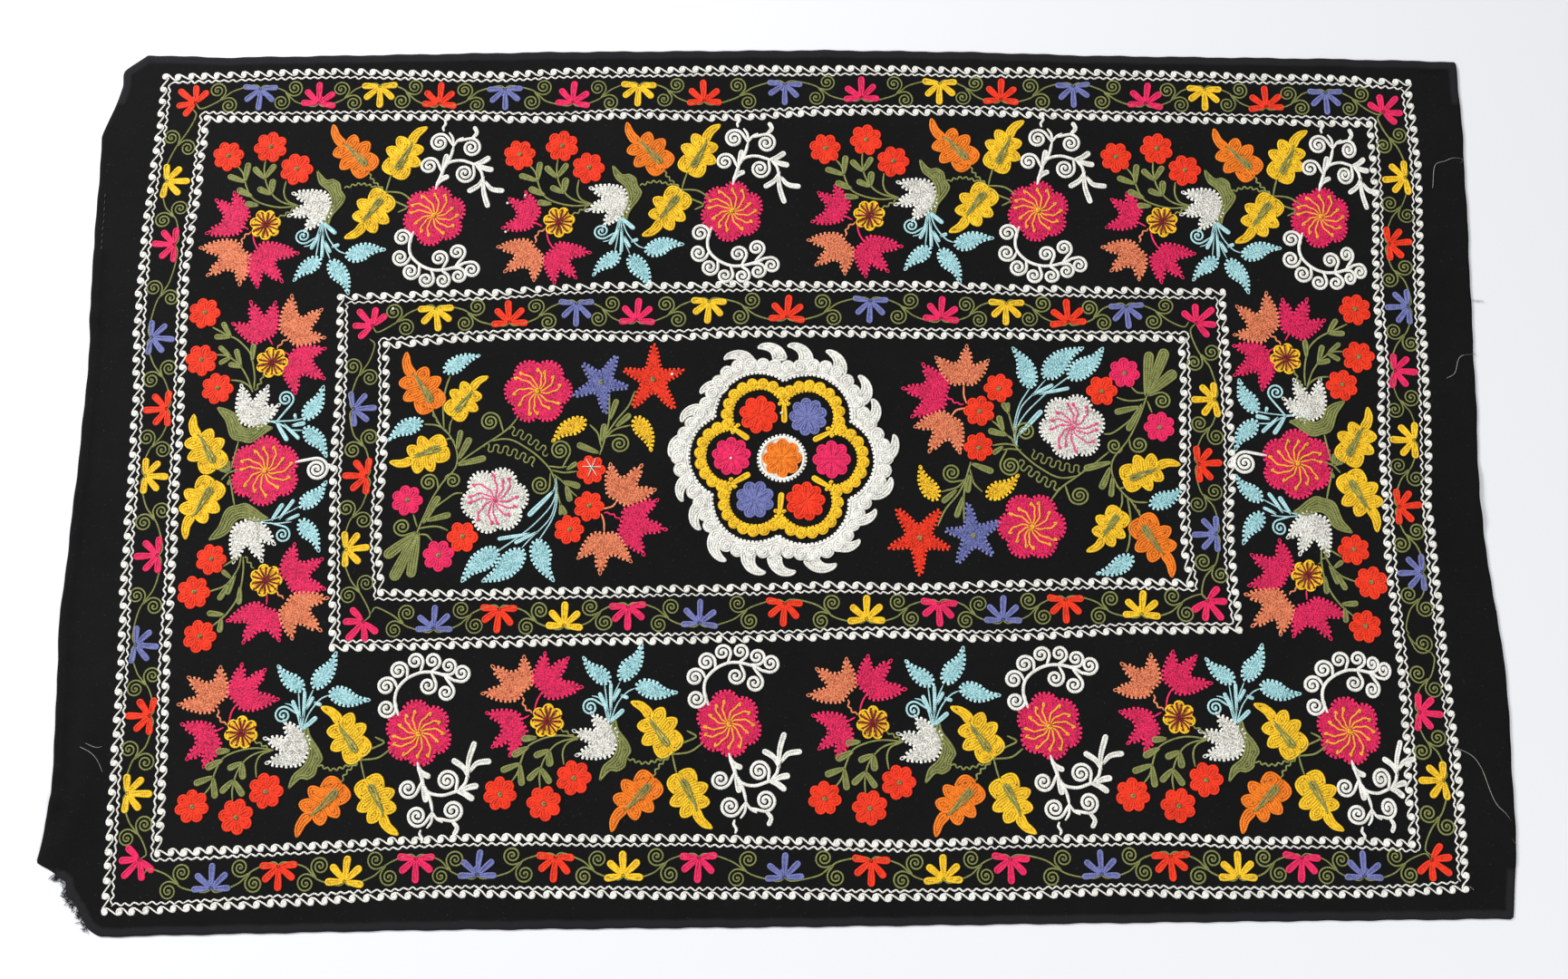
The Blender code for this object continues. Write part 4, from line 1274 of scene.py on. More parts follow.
# %% Hooks and flowers
Hook = namedtuple("Hook", "tip radius")  # its tip's direction, and how far out it is
HOOKS = (
    Hook(12, 165), Hook(34, 156), Hook(48, 165), Hook(68, 171), Hook(87, 167), Hook(102, 168),
    Hook(120, 170), Hook(141, 152), Hook(160, 154), Hook(180, 160), Hook(204, 156), Hook(222, 157),
    Hook(242, 170), Hook(262, 168), Hook(277, 166), Hook(297, 173), Hook(313, 163), Hook(331, 154),
    Hook(350, 160),
)
# A hook's edge from its root over its back to its tip and under it: degrees from the
# tip, and how much further out than the tip.
HOOK_EDGE = ((-15, -22), (-13.5, -8), (-10, 1), (-6.5, 5), (-3, 5.5), (-0.6, 3), (0.1, -1.5),
             (-2.2, -4), (-5, -8), (-6.5, -14), (-7.5, -24))
PETAL_THREADS = ("magenta", "blue", "red", "magenta", "blue", "red")
PETAL_RADIUS = 28.5
HEART_FLOWER_RADIUS, HEART_RING = 29, 31

for hook in HOOKS:
    corners = [(hook.radius + rise) * turned(hook.tip + ahead) for ahead, rise in HOOK_EDGE]
    medallion += row_fill("ivory_rings", smooth(corners, closed=True, fine=6), level=0.3)
for petal, thread in enumerate(PETAL_THREADS):
    way = turned(PETAL_TURN + 60 * petal)
    medallion += moved(lobed(thread, PETAL_RADIUS, 8 + petal % 2), at(PETAL_CIRCLE * way, 17 * petal))
    stem = turned(PETAL_TURN + 60 * petal + 30)
    stem_end = rng.uniform(50, 55) * stem * turned(2 * (-1) ** petal)
    medallion += paddle("yellow", [84 * stem, stem_end], 9.0, 0.2)
    for side in (-1, 1):
        medallion += coil("yellow", 4.6, 0.4, (79 + 6j * side) * stem)
medallion += lobed("orange", HEART_FLOWER_RADIUS, 8)
medallion.append(felt("ivory_rings", (HEART_RING + 2) * turned(np.arange(0, 360, 10)), -0.3))
medallion.append(row("ivory_rings", HEART_RING * turned(np.arange(0, 361, 8)), 4.4))
medallion.append(knots("ivory_rings", (HEART_RING + 3) * turned(np.arange(0, 360, 9.5)), 2.5))
medallion = moved(medallion, at(MEDALLION))
print("the medallion:", len(medallion), "runs of stitches")

# %% [markdown]
# ## From lines to meshes
# Now the records become points and faces. Operators would take minutes for tens of
# thousands of stitches, so each kind has one function that makes all of a run's points
# at once, from arrays. It also gives a UV map along the row, for the links of the
# chain, and a mark that is 1 on crests, so that the gaps between rows are painted dark
# as shade. A slow waver makes no two copies quite the same.

# %% The cloth's surface and the sewer's hand
ROW_HEIGHT = 1.35  # millimetres above the cotton
ROW_FOOT = -0.35
LINK_LENGTH = 3.4  # one link of the chain
FLAT_UV = (0.25, 0.5)  # where the links of the chain don't show
# Across a row, how high, and how light it is painted, dark at its feet as painted shade: for a broad row
# and for a fine one.
BROAD_ROW = np.array([(-0.5, 0.0, 0.08), (-0.25, 1.0, 1.0), (0.25, 1.0, 1.0), (0.5, 0.0, 0.08)])
FINE_ROW = np.array([(-0.5, 0.0, 0.3), (0.0, 1.0, 1.0), (0.5, 0.0, 0.3)])
FINE_BELOW = 2.75  # rows narrower than this are fine ones


def cloth_metres(spots, height):
    """Layout points and heights in millimetres as places on the cloth in metres."""
    flat = spots - MIDDLE
    return np.stack([flat.real, flat.imag, CLOTH_TOP + height + lift(spots)], 1) * MM


def hand_waver(spots):
    """A slow unevenness, so that no two copies are quite the same."""
    x, y = spots.real, spots.imag
    return spots + 0.55 * np.sin(x / 31 + y / 43) + 0.55j * np.sin(x / 37 - y / 29 + 1) \
        + 0.22 * np.sin(x / 7.3 + y / 9.1) + 0.22j * np.sin(x / 8.7 - y / 6.9)


sample = 100 * turned(np.arange(0, 360, 5))
print("the waver moves a stitch by up to", round(np.abs(hand_waver(sample) - sample).max(), 2), "mm")

# %% [markdown]
# ## Rows
# A row becomes a low arched ribbon. A broad one has two points at its feet, just in the
# cloth, and two along its crest, and a fine one has one crest. A round tube would have
# twice the faces and its lower half would never be seen. Its ends are a little lower
# and narrower.

# %% A row as a ribbon
def ribbon_arrays(stitch):
    """Points, UV, crest marks and faces of one row."""
    line = eased(hand_waver(stitch.path))
    count = len(line)
    way = np.gradient(line)
    side = 1j * way / np.maximum(np.abs(way), 1e-9)
    run = np.concatenate([[0], np.cumsum(np.abs(np.diff(line)))]) / LINK_LENGTH
    end = np.ones(count)
    if abs(line[0] - line[-1]) > 0.5:
        end[[0, -1]] = 0.62
    across, high, light = (FINE_ROW if stitch.size < FINE_BELOW else BROAD_ROW).T
    wide = len(across)
    spots = (line[:, None] + side[:, None] * across * stitch.size * end[:, None]).ravel()
    crown = ROW_HEIGHT + 0.25 * (stitch.size - ROW_WIDTH)
    arch = (ROW_FOOT + high * (crown - ROW_FOOT) * end[:, None]).ravel()
    height = arch + stitch.level + rng.uniform(0, 0.2)
    uv = np.stack([np.tile(across + 0.5, count), np.repeat(run, wide)], 1)
    base = wide * np.arange(count - 1)[:, None]
    quads = np.concatenate([base + k + np.array([1, 0, wide, wide + 1]) for k in range(wide - 1)])
    return cloth_metres(spots, height), uv, np.tile(light, count), quads


print("points across a broad row:", len(BROAD_ROW), "and across a fine one:", len(FINE_ROW))

# %% [markdown]
# ## Knots, moss and loops
# A knot is a ring of five with a dimple, which reads as round at this size. A loose
# stitch is a short bent ribbon, and a loop widens from its root to a round end. These
# are the smallest forms that still catch the light, because there are tens of
# thousands.

# %% Knots
KNOT_SIDES = 5


def knot_arrays(stitch):
    """Points, UV, crest marks and faces of a run of knots."""
    spots = hand_waver(stitch.path)
    count = len(spots)
    size = stitch.size * rng.uniform(0.9, 1.1, count)
    spin = np.exp(1j * rng.uniform(0, 6.3, count))
    sides = turned(np.arange(KNOT_SIDES) * 360 / KNOT_SIDES)
    form = np.concatenate([[0], 0.55 * sides, sides])
    points = (spots[:, None] + (size * spin)[:, None] * form).ravel()
    # The height also serves as the crest mark, so the dimple and the foot are painted darker as shade.
    high = np.array([0.45] + [1.0] * KNOT_SIDES + [0.0] * KNOT_SIDES)
    top = ROW_HEIGHT * rng.uniform(0.88, 1.12, count)[:, None]
    height = (ROW_FOOT + high * (top - ROW_FOOT)).ravel() + stitch.level
    ring = np.arange(KNOT_SIDES)
    after = np.roll(ring, -1)
    pie = np.stack([0 * ring, 1 + ring, 1 + after, 1 + after], 1)
    band = np.stack([1 + ring, 1 + KNOT_SIDES + ring, 1 + KNOT_SIDES + after, 1 + after], 1)
    faces = (len(form) * np.arange(count)[:, None, None] + np.concatenate([pie, band])).reshape(-1, 4)
    flat_uv = np.full((len(points), 2), FLAT_UV)
    return cloth_metres(points, height), flat_uv, np.tile(high, count), faces


print("faces of a knot:", 2 * KNOT_SIDES)

# %% Moss
MOSS_BEND = np.array([-2.3-0.9j, -1.0+0.7j, 1.0+0.7j, 2.3-0.9j])  # one loose stitch
MOSS_TAPER = np.array([0.7, 1.0, 1.0, 0.7])


def fine_ribbons(points, height, length):
    """Points, UV, crest marks and faces of many fine ribbons of the same length."""
    light = FINE_ROW[:, 2]
    count = points.size // (3 * length)
    base = 3 * np.arange(length - 1)[:, None]
    quads = np.concatenate([base + k + np.array([1, 0, 3, 4]) for k in range(2)])
    faces = (3 * length * np.arange(count)[:, None, None] + quads).reshape(-1, 4)
    flat_uv = np.full((points.size, 2), FLAT_UV)
    return cloth_metres(points.ravel(), height.ravel()), flat_uv, np.tile(light, length * count), faces


def moss_arrays(stitch):
    """Points, UV, crest marks and faces of a field of loose stitches."""
    spots = hand_waver(stitch.path)
    count = len(spots)
    hand = rng.choice([-1, 1], (count, 1))
    bend = MOSS_BEND.real + 1j * MOSS_BEND.imag * hand * rng.uniform(0.6, 1.4, (count, 1))
    way = np.gradient(bend, axis=1)
    side = 1j * way / np.abs(way)
    across, high, _ = FINE_ROW.T
    form = bend[:, :, None] + side[:, :, None] * across * (stitch.size * MOSS_TAPER)[None, :, None]
    points = spots[:, None] + form.reshape(count, -1) * turned(rng.uniform(0, 360, (count, 1)))
    peak = (ROW_HEIGHT + rng.uniform(-0.15, 0.35, (count, 1, 1))) * MOSS_TAPER[None, :, None]
    return fine_ribbons(points, ROW_FOOT + high * (peak - ROW_FOOT) + stitch.level, len(MOSS_BEND))


print("points in a loose stitch:", 3 * len(MOSS_BEND))

# %% Loops along an edge
# From root to tip: how far along, how wide and how high.
PICOT = np.array([(0.0, 0.7, 1.0), (0.4, 0.8, 1.0), (0.66, 1.0, 1.0), (0.88, 0.95, 0.85),
                  (1.0, 0.45, 0.4)])


def picot_arrays(stitch):
    """Points, UV, crest marks and faces of the small loops along an edge."""
    roots, tips = hand_waver(stitch.path).reshape(-1, 2).T
    across, high, _ = FINE_ROW.T
    along, taper, tall = PICOT.T
    way = tips - roots
    side = 1j * way / np.abs(way) * stitch.size
    line = roots[:, None] + way[:, None] * along
    points = line[:, :, None] + side[:, None, None] * across * taper[:, None]
    arch = (ROW_FOOT + high * (ROW_HEIGHT * tall[:, None] - ROW_FOOT)).ravel()
    return fine_ribbons(points, np.tile(arch, len(roots)) + stitch.level, len(PICOT))


print("points in a loop:", 3 * len(PICOT))

# %% [markdown]
# ## The felt under the stitches
# Between real stitches one sees the same thread a little deeper, never the black
# cotton. More rows would cost many faces that are hardly seen. Instead each fill has a
# thin felt: its outline, filled with triangles (Delaunay), and painted darker as shade
# by its mark. The same helper fills the cloth itself below.

# %% Felt
FELT_HEIGHT, FELT_CELL = 0.45, 14.0


def filled(outline, spots):
    """The points and triangles inside a closed outline, and where its corners went."""
    corners = [Vector((p.real, p.imag)) for p in np.concatenate([outline, spots])]
    loop = list(range(len(outline)))
    edges = list(zip(loop, loop[1:] + loop[:1]))
    made, _, triangles, sources, _, _ = delaunay_2d_cdt(corners, edges, [], 0, 1e-4, True)
    flat = np.array([complex(p.x, p.y) for p in made])
    triangles = np.array(triangles)
    middles = flat[triangles].mean(1)
    chunks = np.array_split(middles, 1 + len(middles) // 500)
    kept = np.concatenate([inside(chunk, outline) for chunk in chunks])
    return flat, triangles[kept], sources


def felt_arrays(stitch):
    """Points, UV, crest marks and faces of the felt under a fill."""
    outline = hand_waver(stitch.path)
    flat, triangles, _ = filled(outline, staggered(outline, FELT_CELL))
    height = np.full(len(flat), FELT_HEIGHT + stitch.level)
    # The felt's mark paints it darker than the crests, as shade between the stitches.
    marks = np.full(len(flat), stitch.size)
    return cloth_metres(flat, height), np.full((len(flat), 2), FLAT_UV), marks, triangles[:, [0, 1, 2, 2]]


print("triangles in the felt of a disc of 20 mm radius:", len(felt_arrays(felt("ivory", disc_edge))[3]))

# %% [markdown]
# ## Sewing
# All stitches of one thread are joined in one mesh, filled straight from the arrays,
# because Blender handles a few large objects far better than thousands of small ones.

# %% From arrays to objects
ARRAYS = {"row": ribbon_arrays, "knot": knot_arrays, "moss": moss_arrays, "picot": picot_arrays,
          "felt": felt_arrays}


def new_mesh_object(name, points, faces, marks, uv=None):
    """An object from arrays; a face with its last corner doubled is a triangle."""
    sides = np.where(faces[:, 2] == faces[:, 3], 3, 4)
    corners = faces.ravel()[np.arange(faces.size) % 4 < np.repeat(sides, 4)]
    mesh = bpy.data.meshes.new(name)
    mesh.vertices.add(len(points))
    mesh.vertices.foreach_set("co", points.ravel())
    mesh.loops.add(len(corners))
    mesh.loops.foreach_set("vertex_index", corners)
    mesh.polygons.add(len(faces))
    mesh.polygons.foreach_set("loop_start", np.concatenate([[0], np.cumsum(sides)[:-1]]))
    mesh.polygons.foreach_set("loop_total", sides)
    mesh.polygons.foreach_set("use_smooth", np.ones(len(faces), bool))
    if uv is not None:
        mesh.uv_layers.new(name="rows").data.foreach_set("uv", uv[corners].ravel())
    for label, values in marks.items():
        mesh.attributes.new(label, "FLOAT", "POINT").data.foreach_set("value", values)
    mesh.update(calc_edges=True)
    thing = bpy.data.objects.new(name, mesh)
    bpy.context.scene.collection.objects.link(thing)
    return thing


def sew(name, stitches):
    """One mesh of all these stitches."""
    parts = [ARRAYS[s.kind](s) for s in stitches]
    starts = np.cumsum([0] + [len(part[0]) for part in parts[:-1]])
    # The crest mark carries the painted shade of the gaps, the feet, the dimples and the felts.
    points, uv, crest = (np.concatenate([part[i] for part in parts]) for i in range(3))
    faces = np.concatenate([part[3] + start for part, start in zip(parts, starts)])
    thing = new_mesh_object(name, points, faces, {"crest": crest}, uv)
    triangles = int(np.where(faces[:, 2] == faces[:, 3], 1, 2).sum())
    print(f"{name}: {len(stitches)} runs, {triangles} triangles")
    return thing, triangles


print("kinds of stitch:", sorted(ARRAYS))

# %% [markdown]
# ## Loose threads
# An old cloth has ends that have come loose, and one without them looks new. A few pale
# threads wander over the ends, tacks show along the left hem, and three short strands
# cross one red flower. They are rows too, only finer.

# %% Loose threads and tacks
LOOSE_THREADS = (
    (922-362j, 948-372j, 962-382j, 970-395j), (970-395j, 985-440j, 998-455j, 1005-467j),
    (1003-490j, 1010-500j),
    (963+455j, 969+490j, 985+498j, 997+503j, 1011+500j, 1003+492j),
    (962+164j, 975+172j, 985+196j, 1008+200j), (1006+281j, 1024+280j),
    (942-555j, 947-560j), (-980-365j, -966-372j, -955-384j, -947-400j),
    (-972-360j, -958-366j, -950-365j),
)
TACKS = -1007 + 1j * np.arange(360, 441, 10)
TACK_LENGTH = 1+5j  # from its lower end to its upper one
STAR_THREADS = (-290+34j, -262+33j), (-281+19j, -270+46j), (-284+45j, -268+20j)

loose = [row("loose_threads", smooth(line), 0.9, 0.4) for line in LOOSE_THREADS]
loose += [row("loose_threads", [tack, tack + TACK_LENGTH], 1.0, 0.9) for tack in TACKS]
loose += [row("ivory_moss", line, 1.3, 2.2) for line in STAR_THREADS]
print("loose threads:", len(loose))

# %% [markdown]
# ## Every thread sewn
# Each name below is one use of one thread, and becomes one mesh. White thread is split
# by its use, so that no mesh grows too large.

# %% One mesh for each thread
THREADS = {
    "border_scrolls": "ivory", "border_zigzags": "ivory", "ivory_scrolls": "ivory", "ivory_moss": "ivory",
    "ivory_rings": "ivory", "vines": "olive", "olive": "olive", "red": "red", "magenta": "magenta",
    "salmon": "salmon", "yellow": "yellow", "gold": "gold", "orange": "orange", "blue": "blue",
    "cyan": "cyan", "maroon": "maroon", "rose": "rose", "loose_threads": "lint",
}
everything = borders + bands + sprays + ends + clusters + medallion + loose
embroidery, total = {}, 0
for thread in THREADS:
    name = thread if "_" in thread or thread == "vines" else thread + "_stitches"
    embroidery[thread], triangles = sew(name, [s for s in everything if s.thread == thread])
    total += triangles
print("triangles in all the stitches:", total)

# %% [markdown]
# ## The cloth's edge
# The cotton's outline is a little wavy, with one corner cut off and one torn. Only its
# bends are given. The line between them is drawn in short steps with a slight waver,
# which grows rough at the torn corner, because a smooth edge there would look cut.

# %% The cut edge
CUT_EDGE = (
    -993+634j, -991+641j, -972+655j, -958+666j, -850+662j, -620+666j, -350+671j, 60+674j,
    280+671j, 460+665j, 820+660j, 1012+655j, 1013+540j, 1010+400j, 1006+280j, 1001+100j,
    995-10j, 1004-150j, 1014-250j, 1013-350j, 1009-510j, 1003-560j, 997-598j, 500-603j,
    -609j, -500-613j, -800-619j, -935-622j, -952-612j, -961-599j, -966-586j, -985-570j,
    -988-549j, -1006-536j, -1029-523j, -1021-480j, -1016-430j, -1018-320j, -1024-200j,
    -1021-130j, -1016+0j, -1012+130j, -1012+220j, -1017+320j, -1018+535j, -1004+578j,
    -992+618j,
)
EDGE_STEP = 6.0
TORN_CORNER, TORN_REACH = -985-580j, 41
TEAR = 1.6  # how far the torn edge strays


def fine_edge():
    """The cut edge in short steps with a slight waver, torn where the corner is torn."""
    line = even(np.array(CUT_EDGE), EDGE_STEP, closed=True)[::-1]
    way = np.roll(line, -1) - np.roll(line, 1)
    out = -1j * way / np.abs(way)
    x, y = line.real, line.imag
    waver = 0.5 * np.sin(x / 17 + y / 23) + 0.35 * np.sin(x / 6 - y / 8)
    torn = np.exp(-(np.abs(line - TORN_CORNER) / TORN_REACH) ** 2)
    return line + out * (waver + torn * rng.normal(0, TEAR, len(line)))


edge = fine_edge()
print("corners of the edge:", len(edge))

# %% [markdown]
# ## The ground cloth
# The cotton is one closed sheet just over a millimetre thick. A grid cut to the outline
# would leave a stepped rim, so points are spread over the cloth and joined by
# triangles. Four lines of points follow the edge, for the hems' ridge and the
# selvedges.

# %% Points over the cloth
CLOTH_CELL = 18.0
HEM_WIDTH, HEM_HEIGHT = 15.0, 0.9
HEM_SLOPE = 1.4  # how wide the hem's ridge is
LEDGES = (4.5, 9.0, HEM_WIDTH - HEM_SLOPE, HEM_WIDTH + 0.4)  # depths of the lines of points


def edge_distance(spots):
    """How far these points are from the cut edge."""
    return np.concatenate([distance(part, edge) for part in np.array_split(spots, 40)])


field = staggered(edge, CLOTH_CELL)
field = field[edge_distance(field) > HEM_WIDTH + 4]
ledges = []
for depth in LEDGES:
    ledge = inset(edge, depth)
    ledges.append(ledge[edge_distance(ledge) > depth - 0.8])
flat, triangles, sources = filled(edge, np.concatenate(ledges + [field]))
print("cloth points:", len(flat), "triangles on each face:", len(triangles))

# %% [markdown]
# ## The frayed corner
# At the torn corner the cotton has come apart into short dark threads. A fringe of
# straight strands would look like a trimming, so each one is rooted on the edge and has
# its own direction, length and bend.

# %% Frayed strands
FRAYS, FRAY_REACH = 90, 46

frays = []
for root in rng.choice(edge[np.abs(edge - TORN_CORNER) < FRAY_REACH], FRAYS):
    aim = turned(rng.uniform(165, 290)) * rng.uniform(3, 11)
    bend = 1j * aim * rng.uniform(-0.3, 0.3)
    strand = [root - 0.3 * aim, root + 0.5 * aim + bend, root + aim]
    frays.append(row("frays", strand, rng.uniform(0.6, 1.1), -0.3))
embroidery["frays"], _ = sew("frayed_corner", frays)
THREADS["frays"] = "black"
print("meshes of thread:", len(embroidery))

# %% [markdown]
# ## Hems, selvedges and the closed sheet
# The left and right ends were turned under, so the cloth stands higher there, and
# embroidery draws cotton in, which leaves a very soft pucker. A single face would have
# no thickness, so a lower face and a wall along the edge close the sheet. A mark on
# each point says how far it belongs to a selvedge.

# %% The sheet
SELVEDGE_WIDTH, SELVEDGE_SLOPE = 11.5, 2.5
LEFT_HEM_TOP, RIGHT_HEM_TOP = 360, 650  # up to where each hem is turned under
HEM_BOTTOM = -530
END_FROM = 950  # the hems lie further out than this
SELVEDGE_FROM = 560  # and the selvedges further up or down than this

far = edge_distance(flat)
hem_top = np.where(flat.real > 0, RIGHT_HEM_TOP, LEFT_HEM_TOP)
hem_ends = (flat.imag > HEM_BOTTOM) & (flat.imag < hem_top) & (np.abs(flat.real) > END_FROM)
hem = np.clip((HEM_WIDTH - 0.4 - far) / HEM_SLOPE, 0, 1) * hem_ends
# How far each point belongs to a selvedge, which the cotton's finish paints greyer as sheen.
selvedge = np.clip((SELVEDGE_WIDTH - far) / SELVEDGE_SLOPE, 0, 1)
selvedge = selvedge * (np.abs(flat.imag - MIDDLE.imag) > SELVEDGE_FROM)
x, y = flat.real, flat.imag
pucker = 0.16 * np.sin(x / 23 + 2 * np.sin(y / 61)) * np.sin(y / 19 + np.sin(x / 47))
pucker = (pucker + 0.11 * np.sin(x / 71 + y / 53)) * np.clip(far / 30, 0, 1)
top = cloth_metres(flat, hem * HEM_HEIGHT + pucker)
low = np.stack([top[:, 0], top[:, 1], lift(flat) * MM], 1)
rim = {source: i for i, made_from in enumerate(sources) for source in made_from if source < len(edge)}
ring = np.array([rim[i] for i in range(len(edge))])
after = np.roll(ring, -1)
count = len(flat)
walls = np.stack([after, ring, ring + count, after + count], 1)
caps = np.concatenate([triangles[:, [0, 1, 2, 2]], triangles[:, [2, 1, 0, 0]] + count])
cloth = new_mesh_object("ground_cotton_sheet", np.concatenate([top, low]), np.concatenate([caps, walls]),
                        {"selvedge": np.tile(selvedge, 2)})
print("the cotton:", tuple(round(v, 4) for v in cloth.dimensions), "m")

# %% [markdown]
# ## Shader sums
# Cloth and thread are mixed from noise and from the marks on the meshes. Linked one by
# one, a sum of five nodes takes twenty lines. A small class wraps a socket so that such
# sums can be written as Python.

# %% Sockets as sums
class Signal:
    """A socket that can be added, taken away and multiplied like a number."""

    def __init__(self, tree, socket):
        self.tree, self.socket = tree, socket

    def maths(self, operation, *terms, clamp=False):
        node = self.tree.nodes.new("ShaderNodeMath")
        node.operation, node.use_clamp = operation, clamp
        for slot, term in zip(node.inputs, terms):
            feed(self.tree, slot, term)
        return Signal(self.tree, node.outputs[0])

    def __add__(self, other):
        return self.maths("ADD", self, other)

    def __sub__(self, other):
        return self.maths("SUBTRACT", self, other)

    def __rsub__(self, other):
        return self.maths("SUBTRACT", other, self)

    def __mul__(self, other):
        return self.maths("MULTIPLY", self, other)

    def within(self):
        """The same, held between 0 and 1."""
        return self.maths("ADD", self, 0.0, clamp=True)

    def distance(self, other):
        """How far it is from another value, either way."""
        return self.maths("ABSOLUTE", self - other)

    def fraction(self):
        """What is left past the last whole number."""
        return self.maths("FRACT", self)

    __radd__, __rmul__ = __add__, __mul__


def feed(tree, slot, term):
    """Link a signal to a socket, or set a value on it."""
    if isinstance(term, Signal):
        tree.links.new(term.socket, slot)
    else:
        slot.default_value = term


print("sockets can be added, subtracted and multiplied")

# %% [markdown]
# ## One finish, one material
# Each material starts from the same shader and the same place on the cloth. A second
# class holds them, with a short method for each node that is used often, and one that
# makes any other node. Colours are given as on a screen.

# %% Materials and their nodes
class Finish:
    """One material and the nodes that it is made of."""

    def __init__(self, name):
        self.material = bpy.data.materials.new(name)
        self.material.use_nodes = True
        self.tree = self.material.node_tree
        self.shader = self.tree.nodes["Principled BSDF"]
        self.place = self.node("ShaderNodeTexCoord", output="Object")

    def node(self, kind, settings=(), values=(), output=0):
        """A node with its settings, then its sockets' values or links."""
        made = self.tree.nodes.new(kind)
        for label, value in dict(settings).items():
            setattr(made, label, value)
        for label, term in dict(values).items():
            feed(self.tree, made.inputs[label], term)
        return Signal(self.tree, made.outputs[output])

    def noise(self, scale, detail, roughness=0.5):
        """Noise over the cloth; the scale is in waves to the metre."""
        return self.node("ShaderNodeTexNoise", values={
            "Vector": self.place, "Scale": scale, "Detail": detail, "Roughness": roughness})

    def mark(self, label):
        """A value stored on the mesh."""
        return self.node("ShaderNodeAttribute", {"attribute_name": label}, output="Fac")

    def blend(self, factor, first, second):
        """One colour into another."""
        made = self.tree.nodes.new("ShaderNodeMix")
        made.data_type = "RGBA"
        for slot, term in ((0, factor), (6, first), (7, second)):
            feed(self.tree, made.inputs[slot], term)
        return Signal(self.tree, made.outputs[2])

    def bump(self, height, distance, strength):
        """The normal of a surface with this relief."""
        return self.node("ShaderNodeBump", values={
            "Height": height, "Distance": distance, "Strength": strength})

    def set(self, **sockets):
        """Values or links for the shader's own sockets."""
        for label, term in sockets.items():
            feed(self.tree, self.shader.inputs[label.replace("_", " ")], term)


def colour(hex_code):
    """A screen colour, as the linear colour that Blender mixes."""
    parts = [int(hex_code[i:i + 2], 16) / 255 for i in (0, 2, 4)]
    return tuple(p / 12.92 if p < 0.04045 else ((p + 0.055) / 1.055) ** 2.4 for p in parts) + (1,)


print("half grey on the screen, mixed:", tuple(round(v, 3) for v in colour("808080")))

# %% [markdown]
# ## Thread
# The thread is dyed cotton floss, with a dye that varies slowly. Its colour also holds
# painted shade and light: lightest on each crest, dark in the gaps, with a dark V where
# one link passes through the next, and soft specks of painted shade and highlight. Links
# could be modelled, but each would need dozens of faces. So the V is drawn along the UV
# map, in the colour as painted shade and as a bump.

# %% Thread
# Each dye's dark colour is the painted shade of the gaps; the slow dye and fibre variations also mix
# towards it.
DYES = {  # its light and its dark colour
    "ivory": ("f7f5ec", "78756a"), "red": ("fa3c1a", "8a0a02"), "magenta": ("f42864", "74062c"),
    "salmon": ("f09066", "863418"), "yellow": ("ffd028", "8c5604"), "gold": ("ffba38", "a85c10"),
    "orange": ("fa861e", "8c3002"), "rose": ("f05a8c", "98204c"), "blue": ("787eb6", "262858"),
    "olive": ("8a8e50", "2e3514"), "cyan": ("bbe4e6", "447f86"), "maroon": ("801622", "2a0408"),
    "lint": ("a8a49c", "5a5854"), "black": ("18181a", "0a0a0b"),
}
RELIEF = 0.0008  # metres, the depth of the bumps in thread and cotton


def thread_finish(name):
    """Dyed cotton floss in chain stitch."""
    light, dark = DYES[name]
    f = Finish(name + "_thread")
    uv = f.node("ShaderNodeUVMap", {"uv_map": "rows"})
    split = f.tree.nodes.new("ShaderNodeSeparateXYZ")
    feed(f.tree, split.inputs[0], uv)
    across = Signal(f.tree, split.outputs[0]).distance(0.5) * 2
    along = Signal(f.tree, split.outputs[1])
    # The seam is painted shade where one link passes through the next, and also a bump.
    link = (along - across * 0.45).fraction()
    crossing = 1 - link.distance(0.5) * 2
    seam = (crossing * 4).within()
    # The groove paints shade along the middle of each row, and is also a bump.
    groove = (across * 3 + 0.45).within()
    fade = f.noise(26, 3)
    # Soft specks of painted shade and painted highlight over the stitches, also used as a bump.
    gap_shade_and_glints = ((f.noise(210, 2) - 0.5) * 3 + 0.5).within()
    fibre = f.noise(900, 2)
    # The crest mark paints the thread darker in the gaps, at the feet and on the felts, as shade.
    body = (f.mark("crest") * 1.45).within()
    tone = body * 0.66 + seam * 0.12 + groove * 0.10
    tone = tone + (fade - 0.5) * 0.4 + (fibre - 0.5) * 0.4 + (gap_shade_and_glints - 0.5) * 0.35
    relief = seam * 0.6 + groove * 0.25 + fibre * 0.35 + gap_shade_and_glints * 0.4
    f.set(Base_Color=f.blend(tone.within(), colour(dark), colour(light)),
          Roughness=0.6, Sheen_Weight=0.03, Sheen_Roughness=0.4, Specular_IOR_Level=0.22,
          Normal=f.bump(relief, RELIEF, 1.0))
    return f.material


finishes = {name: thread_finish(name) for name in DYES}
for thread, thing in embroidery.items():
    thing.data.materials.append(finishes[THREADS[thread]])
print("threads:", sorted(finishes))

# %% [markdown]
# ## Cotton
# The ground is black cotton, dull, with pale lint and selvedges painted greyer for their
# sheen. An even black would look like plastic, so two sizes of noise make soft patches,
# a third the lint and a fourth, very fine, the weave as a bump.

